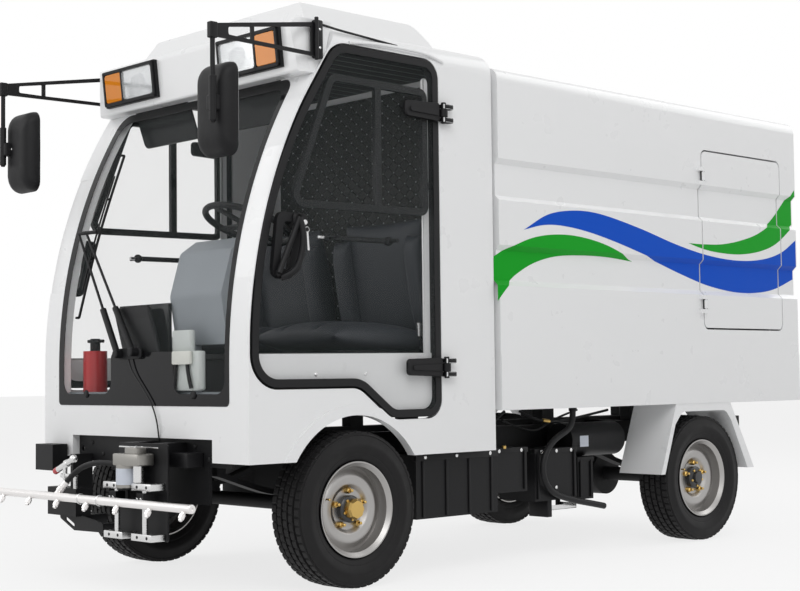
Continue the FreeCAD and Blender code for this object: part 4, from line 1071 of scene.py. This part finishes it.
# --- under the body -------------------------------------------------------------------------------
def add_underbody():
    ribs = []
    for x0, x1, y, z0, z1 in ((-1.440, -1.160, 0.575, 0.245, 0.471), (-1.080, -0.860, 0.600, 0.299, 0.486),
                              (-1.600, -1.490, 0.540, 0.232, 0.420)):
        ribs += [block(x0 - 0.004, x1 + 0.004, y - 0.02, y + 0.004, z1 - 0.018, z1 + 0.003, 0.001, 0.002),
                 block(x0 + 0.012, x0 + 0.024, y, y + 0.008, z0 + 0.01, z1 - 0.01, 0.001, 0.002),
                 block(x1 - 0.024, x1 - 0.012, y, y + 0.008, z0 + 0.01, z1 - 0.01, 0.001, 0.002)]
    for x0, x1 in ((-0.848, -0.372),):
        ribs += [block(x0 - 0.004, x1 + 0.004, 0.62, 0.645, 0.460, 0.489, 0.001, 0.003)]
        ribs += [block(x0 + (x1 - x0) * s - 0.006, x0 + (x1 - x0) * s + 0.006, 0.640, 0.646, 0.235, 0.460,
                       0.001, 0.002)
                 for s in (0.08, 0.36, 0.64, 0.92)]
    sides = [on_side(b, 1) for b in ribs]
    drawn("box_ribs", BLACK, "chassis", *sides)
    bolts = [screw((x, y, z), (0, 1, 0), 0.008) for x, y,
             z in ((-1.200, 0.579, 0.462), (-1.300, 0.579, 0.462),
             (-1.400, 0.579, 0.462), (-1.300, 0.575, 0.30), (-0.900, 0.604, 0.477), (-1.040, 0.604, 0.477),
             (-0.60, 0.645, 0.475), (-0.42, 0.645, 0.475), (-0.80, 0.645, 0.475))]
    drawn("box_bolts", BRIGHT, "chassis", *bolts)
    tray = [block(-1.455, -1.275, 0.440, 0.560, 0.199, 0.202, 0.0005, 0.002),
            block(-1.455, -1.275, 0.557, 0.560, 0.199, 0.220, 0.0005, 0.001),
            block(-1.455, -1.452, 0.440, 0.560, 0.199, 0.222, 0.0005, 0.001)]
    drawn("step_tray", BRIGHT, "chassis", *tray)
    drawn("step_stays", BLACK, "chassis", block(-1.285, -1.255, 0.450, 0.562, 0.170, 0.2465, 0.002, 0.003),
          block(-1.450, -1.436, 0.450, 0.470, 0.199, 0.2465, 0.001, 0.002))
    lines = [tube([(-1.20, 0.45, 0.64), (-1.24, 0.50, 0.60), (-1.38, 0.50, 0.585), (-1.55, 0.49, 0.60),
                   (-1.80, 0.47, 0.63)], 0.006),
             tube([(-1.10, 0.44, 0.60), (-1.20, 0.46, 0.56), (-1.30, 0.47, 0.545), (-1.42, 0.46, 0.60),
                   (-1.60, 0.45, 0.635)], 0.005),
             tube([(-0.90, 0.48, 0.49), (-0.91, 0.50, 0.56), (-0.98, 0.50, 0.60), (-1.06, 0.49, 0.64)],
                  0.007)]
    drawn("pipe_runs", HOSE, "chassis", *lines)
    drawn("pipe_joints", BRASS, "chassis", pin((-1.30, 0.5015, 0.5955), (-1.345, 0.5015, 0.590), 0.009),
          pin((-1.215, 0.577, 0.420), (-1.215, 0.583, 0.465), 0.004),
          pin((-0.935, 0.600, 0.50), (-0.935, 0.600, 0.486), 0.010))
    drawn("blank_tags", LABEL, "chassis", slab([(-1.56, 0.47), (-1.50, 0.47), (-1.50, 0.52), (-1.56, 0.52)],
          "y", 0.5485, 0.5495))


# --- body and cab trim ----------------------------------------------------------------------------
HATCH_HINGES = (1.130, 1.751)


def add_body_trim():
    for side_name, side in SIDES:
        skirt = slab([(-0.8005, 0.655), (-0.8005, 0.890, 0.004), (-3.0725, 0.890, 0.004),
                      (-3.0725, 0.655)], "y", 0.7162, 0.7190, 0.0008)
        drawn("body_skirt_" + side_name, WHITE, "chassis", on_side(skirt, side))
        covers = [block(-2.262, -2.235, 0.7165, 0.7275, height - 0.024, height + 0.024, 0.002, 0.004)
                  for height in HATCH_HINGES]
        drawn("hatch_hinge_covers_" + side_name, PLASTIC, "side_hatch_" + side_name,
              *[on_side(b, side) for b in covers])
    for side_name, side in SIDES:
        reds = block(-3.0790, -3.0735, 0.585, 0.665, 0.90, 1.02, 0.002, 0.006)
        ambers = block(-3.0790, -3.0735, 0.585, 0.665, 1.03, 1.10, 0.002, 0.006)
        drawn("tail_lamp_" + side_name, TAIL_RED, "chassis", on_side(reds, side))
        drawn("tail_amber_" + side_name, AMBER, "chassis", on_side(ambers, side))


def add_roof_trim():
    screws = [screw((x, y, 2.276), (0, 0, 1), 0.010) for x in (-0.45, 0.02) for y in (-0.40, 0.40)]
    drawn("roof_screws", BRIGHT, "chassis", *screws)
    vents = [block(-0.560, -0.5565, -0.36 + 0.10 * i, -0.30 + 0.10 * i, 2.170, 2.180, 0.001,
                   0.002) for i in range(7)]
    drawn("roof_vents", BLACK, "chassis", *vents)


# --- inside the cab -------------------------------------------------------------------------------
def quilted(name, colour, crossing_highlight):
    """Padded lining sewn in diamonds, with a painted highlight dot where the lines cross."""
    shader = Shader(name, Roughness=0.6)
    place = shader.place()
    across = shader.add("ShaderNodeSeparateXYZ", None, place, output=1)
    up = shader.add("ShaderNodeSeparateXYZ", None, place, output=2)
    one = (across * 14.3 + up * 18.2).maths("FRACT").maths("SUBTRACT", 0.5).maths("ABSOLUTE")
    two = (across * 14.3 - up * 18.2).maths("FRACT").maths("SUBTRACT", 0.5).maths("ABSOLUTE")
    # mask of the painted highlight dots where the two sets of diamond lines cross
    cross = (one > 0.42) * (two > 0.42)
    line = ((one > 0.465) + (two > 0.465)).maths("MINIMUM", 1.0)
    worn = shader.blend(shader.noise(5.0), colour, tuple(c * 1.5 for c in colour[:3]) + (1.0,))
    sewn = shader.blend(line * 0.6, worn, tuple(c * 2.4 for c in colour[:3]) + (1.0,))
    # the painted highlight colour laid on the crossings
    shader.feed("Base Color", shader.blend(cross, sewn, crossing_highlight))
    pillow = (one * -2.0 + 1.0).maths("MINIMUM", two * -2.0 + 1.0)
    pillow = pillow.maths("MULTIPLY", 5.0).maths("MINIMUM", 1.0)
    shader.bump(pillow, 0.6, 0.006)
    return shader.material


# the last colour is the painted highlight at the stitch crossings
QUILT = quilted("quilted_lining", rgb(0.020, 0.020, 0.019), rgb(0.42, 0.44, 0.44))
RESERVOIR = moulded("reservoir_plastic", rgb(0.70, 0.74, 0.72), 0.4, shine=0.4)
TAIL_RED = clear("tail_lens", rgb(0.5, 0.01, 0.01), 0.9)
SCREEN = moulded("screen_black", rgb(0.008, 0.008, 0.009), 0.15, depth=0.00002)


def pad(width, length, thick, place, turn, channels=(), power=4.0, crown=0.12):
    """A stuffed pad: closed, crowned, with drawn-in edges and sewn channels along its length."""
    def build(bm):
        across, along = 44, 44
        rows = {}
        matrix = Matrix.Translation(place) @ Matrix.Rotation(turn, 4, "Y")
        for top in (1, -1):
            for i in range(across + 1):
                for k in range(along + 1):
                    u, v = math.sin((i / across - 0.5) * math.pi), math.sin((k / along - 0.5) * math.pi)
                    if top < 0 and (i in (0, across) or k in (0, along)):
                        rows[top, i, k] = rows[1, i, k]
                        continue
                    edge = max(0.0, (1 - abs(u) ** power)) ** 0.42 * max(0.0, (1 - abs(v) ** power)) ** 0.42
                    height = thick / 2 * edge
                    if top > 0:
                        height += crown * thick * (1 - u * u) * (1 - v * v)
                        for c in channels:
                            height -= 0.16 * thick * math.exp(-((u - c) / 0.035) ** 2) * (1 - v ** 8)
                    pinch = 1 - 0.035 * (1 - v * v) * abs(u) ** 3
                    co = Vector((v * length / 2 * (1 - 0.03 * (1 - u * u) * abs(v) ** 3),
                                 u * width / 2 * pinch, top * height))
                    rows[top, i, k] = bm.verts.new(matrix @ co)
        for top in (1, -1):
            for i in range(across):
                for k in range(along):
                    ring = [rows[top, i, k], rows[top, i + 1, k], rows[top, i + 1, k + 1],
                            rows[top, i, k + 1]]
                    bm.faces.new(ring if top > 0 else ring[::-1])
    return build


def add_seats():
    for name, middle in (("driver", 0.325), ("passenger", -0.325)):
        cushion = pad(0.500, 0.560, 0.120, Vector((-0.285, middle, 0.952)), math.radians(-2), (-0.42, 0.42))
        back = pad(0.470, 0.500, 0.115, Vector((-0.548, middle, 1.205)), math.radians(-80),
                   (-0.46, -0.15, 0.15, 0.46))
        bolsters = [pad(0.090, 0.400, 0.110, Vector((-0.505, middle + s * 0.222, 1.185)), math.radians(-80),
                        ())
                    for s in (-1, 1)]
        seat = drawn(name + "_cushion", SEAT, "chassis", cushion,
                     replaces=("seats",) if name == "driver" else ())
        rest = drawn(name + "_backrest", SEAT, "chassis", back, *bolsters)
        frame_parts = [block(-0.520, -0.060, middle - 0.215, middle + 0.215, 0.6905, 0.885, 0.004, 0.02),
                       block(-0.545, -0.030, middle - 0.235, middle + 0.235, 0.880, 0.905, 0.003, 0.02)]
        drawn(name + "_seat_box", BLACK, "chassis", *frame_parts)
        buckles = [block(-0.470, -0.450, middle + 0.245, middle + 0.262, 0.96, 1.02, 0.003, 0.006),
                   pin((-0.50, middle + 0.225, 0.905), (-0.46, middle + 0.254, 0.965), 0.006)]
        drawn(name + "_buckle", BRIGHT, "chassis", *buckles)


def add_cab_inside():
    lining = slab([(-0.655, 0.692), (0.655, 0.692), (0.655, 2.060, 0.06), (-0.655, 2.060, 0.06)], "x",
                  -0.7458, -0.7400)
    drawn("rear_lining", QUILT, "chassis", lining)
    drawn("roof_lining", QUILT, "chassis", block(-0.735, 0.120, -0.640, 0.640, 2.085, 2.095, 0.002, 0.03))
    drawn("monitor", SCREEN, "chassis", block(0.4355, 0.4520, -0.048, 0.118, 0.868, 1.096, 0.002, 0.004),
          block(0.4075, 0.4365, -0.252, -0.008, 0.982, 1.097, 0.002, 0.004))
    visors = [mapped(slab([(y0, 0.0, 0.02), (y1, 0.0, 0.02), (y1, 0.165, 0.03), (y0, 0.165, 0.03)], "x", 0.0,
                          0.014, 0.004),
                     lambda co: Vector((0.185 + co.x - 0.35 * (0.165 - co.z), co.y, 1.800 + co.z)))
              for y0, y1 in ((-0.500, -0.110), (0.110, 0.500))]
    drawn("sun_visors", PLASTIC, "chassis", *visors,
          *[pin((0.165, y, 1.955), (0.150, y, 2.110), 0.006) for y in (-0.48, -0.13, 0.13, 0.48)])
    drawn("extinguisher_head", PLASTIC, "chassis", pin((0.400, -0.490, 0.905), (0.400, -0.490, 0.972), 0.021),
          block(0.385, 0.415, -0.530, -0.440, 0.955, 0.968, 0.002, 0.004))
    feeds = [tube([(0.458, y, 0.902), (0.470, y, 0.880), (0.466, y, 0.800), (0.456, y, 0.740),
                   (0.470, y + 0.01, 0.700)], 0.006)
             for y in (0.080, 0.135)]
    drawn("washer_feeds", HOSE, "chassis", *feeds)
    caps = [pin((0.432, y, 0.905), (0.432, y, 0.922), 0.014) for y in (0.080, 0.135)]
    drawn("washer_caps", PLASTIC, "chassis", *caps)
    drawn("reservoir", RESERVOIR, "chassis",
          block(0.466, 0.500, 0.196, 0.386, 0.756, 0.905, 0.006, 0.02),
          block(0.466, 0.496, 0.196, 0.320, 0.880, 0.985, 0.006, 0.02))
    drawn("reservoir_box", BOTTLE, "chassis", block(0.500, 0.518, 0.226, 0.345, 0.855, 0.905, 0.004, 0.008))
    drawn("reservoir_hoses", HOSE, "chassis",
          tube([(0.508, 0.244, 0.856), (0.510, 0.243, 0.815), (0.508, 0.236, 0.765)], 0.0075),
          tube([(0.508, 0.318, 0.856), (0.511, 0.325, 0.820), (0.508, 0.342, 0.765)], 0.0075))
    drawn("wiper_motor_cover", PLASTIC, "chassis",
          mapped(block(0.0, 0.022, -0.130, 0.115, 0.0, 0.205, 0.004, 0.012),
                 lambda co: Vector((0.482 + co.x - 0.02 * co.z, co.y - 0.42 * co.z + 0.012, 0.880 + co.z))))


# --- front pillars --------------------------------------------------------------------------------
PILLAR_LOW, PILLAR_HIGH, PILLAR_STEPS = 0.710, 1.955, 48
# Section seen from above: (behind the nose's surface, across). Its lip ends ahead of the door's edge.
PILLAR_SECTION = [(0.0006, 0.562), (0.0006, 0.694), (0.003, 0.698), (0.005, 0.698), (0.005, 0.667),
                  (0.040, 0.667),
                  (0.046, 0.661), (0.046, 0.568), (0.040, 0.562)]


def pillar(bm):
    rings = []
    for i in range(PILLAR_STEPS + 1):
        height = PILLAR_LOW + (PILLAR_HIGH - PILLAR_LOW) * i / PILLAR_STEPS
        rings.append([bm.verts.new(on_screen(y, height, -behind)) for behind, y in PILLAR_SECTION])
    bridged(bm, rings)
    bm.faces.new(rings[0][::-1])
    bm.faces.new(rings[-1])


def add_pillars():
    for side_name, side in SIDES:
        drawn("front_pillar_" + side_name, WHITE, "chassis", on_side(pillar, side))


add_door_details()
add_pillars()
add_mirrors()
add_wiper()
add_spray_mount()
add_actuator()
add_spray_bar()
add_valve()
add_underbody()
add_body_trim()
add_roof_trim()
add_seats()
add_cab_inside()


# --- camera, light and floor ----------------------------------------------------------------------
SENSOR_WIDTH, VIEW_REACH = 36.0, 200.0
PLAIN_LEVEL, SEEN_LEVEL = 0.42, 1.0      # world: what lights the vehicle, and what the eye sees
FLOOR_REACH, FLOOR_LEVEL, FLOOR_GLOW = 60.0, -0.0005, 0.78
LAMP_SIZE = 5.0


def add_camera():
    forward = Vector((math.cos(CAMERA_TILT) * math.cos(CAMERA_HEADING),
                      math.cos(CAMERA_TILT) * math.sin(CAMERA_HEADING), math.sin(CAMERA_TILT)))
    right = forward.cross(Vector((0, 0, 1))).normalized()
    up = right.cross(forward)
    turned_right = right * math.cos(CAMERA_ROLL) + up * math.sin(CAMERA_ROLL)
    turned_up = up * math.cos(CAMERA_ROLL) - right * math.sin(CAMERA_ROLL)
    lens = bpy.data.cameras.new("camera")
    lens.lens, lens.sensor_width = CAMERA_LENS, SENSOR_WIDTH
    lens.clip_end = VIEW_REACH
    camera = bpy.data.objects.new("camera", lens)
    turn = Matrix((turned_right, turned_up, -forward)).transposed().to_4x4()
    camera.matrix_world = Matrix.Translation(CAMERA_PLACE) @ turn
    bpy.context.scene.collection.objects.link(camera)
    bpy.context.scene.camera = camera


def white_to_the_eye(tree):
    """1 for what the camera, mirrors and glass see, 0 for every other ray."""
    path = tree.nodes.new("ShaderNodeLightPath")
    seen = tree.nodes.new("ShaderNodeMath")
    seen.operation = "ADD"
    seen.use_clamp = True
    also = tree.nodes.new("ShaderNodeMath")
    also.operation = "ADD"
    tree.links.new(path.outputs["Is Camera Ray"], also.inputs[0])
    tree.links.new(path.outputs["Is Glossy Ray"], also.inputs[1])
    tree.links.new(also.outputs[0], seen.inputs[0])
    tree.links.new(path.outputs["Is Transmission Ray"], seen.inputs[1])
    return seen


def add_world():
    world = bpy.data.worlds.new("studio")
    world.use_nodes = True
    tree = world.node_tree
    background = tree.nodes["Background"]
    background.inputs["Color"].default_value = (1, 1, 1, 1)
    seen = white_to_the_eye(tree)
    strength = tree.nodes.new("ShaderNodeMix")
    strength.inputs[2].default_value = PLAIN_LEVEL
    strength.inputs[3].default_value = SEEN_LEVEL
    tree.links.new(seen.outputs[0], strength.inputs[0])
    tree.links.new(strength.outputs[0], background.inputs["Strength"])
    bpy.context.scene.world = world


def add_lamp(name, place, target, energy):
    light = bpy.data.lights.new(name, "AREA")
    light.shape, light.size, light.energy = "SQUARE", LAMP_SIZE, energy
    lamp = bpy.data.objects.new(name, light)
    lamp.location = place
    lamp.rotation_euler = (Vector(target) - Vector(place)).to_track_quat("-Z", "Y").to_euler()
    bpy.context.scene.collection.objects.link(lamp)


def add_floor():
    """A wide floor that the eye sees as nearly white, with the vehicle's shadow still on it."""
    mesh = bpy.data.meshes.new("floor")
    corners = ((-1, -1), (1, -1), (1, 1), (-1, 1))
    mesh.from_pydata([(x * FLOOR_REACH, y * FLOOR_REACH, FLOOR_LEVEL) for x, y in corners], [],
                     [(0, 1, 2, 3)])
    floor = bpy.data.objects.new("floor", mesh)
    shader = Shader("floor_paint", Roughness=0.9)
    shader.surface.inputs["Base Color"].default_value = rgb(0.90, 0.90, 0.90)
    tree = shader.tree
    glow = tree.nodes.new("ShaderNodeEmission")
    glow.inputs["Color"].default_value = (1, 1, 1, 1)
    share = tree.nodes.new("ShaderNodeMath")
    share.operation = "MULTIPLY"
    share.inputs[1].default_value = FLOOR_GLOW
    tree.links.new(white_to_the_eye(tree).outputs[0], share.inputs[0])
    mix = tree.nodes.new("ShaderNodeMixShader")
    tree.links.new(share.outputs[0], mix.inputs[0])
    tree.links.new(shader.surface.outputs[0], mix.inputs[1])
    tree.links.new(glow.outputs[0], mix.inputs[2])
    tree.links.new(mix.outputs[0], tree.nodes["Material Output"].inputs["Surface"])
    mesh.materials.append(shader.material)
    bpy.context.scene.collection.objects.link(floor)


add_camera()
add_world()
add_lamp("key", (AXLE_X + 3.5, 5.5, 6.0), (0.4, 0, 1.0), 210)
add_lamp("fill", (AXLE_X + 5.5, -3.0, 4.5), (0.8, 0, 1.0), 120)
add_lamp("back", (-6.0, 2.0, 5.5), (-0.5, 0, 1.2), 120)
add_floor()

bpy.context.scene.view_settings.view_transform = "Standard"
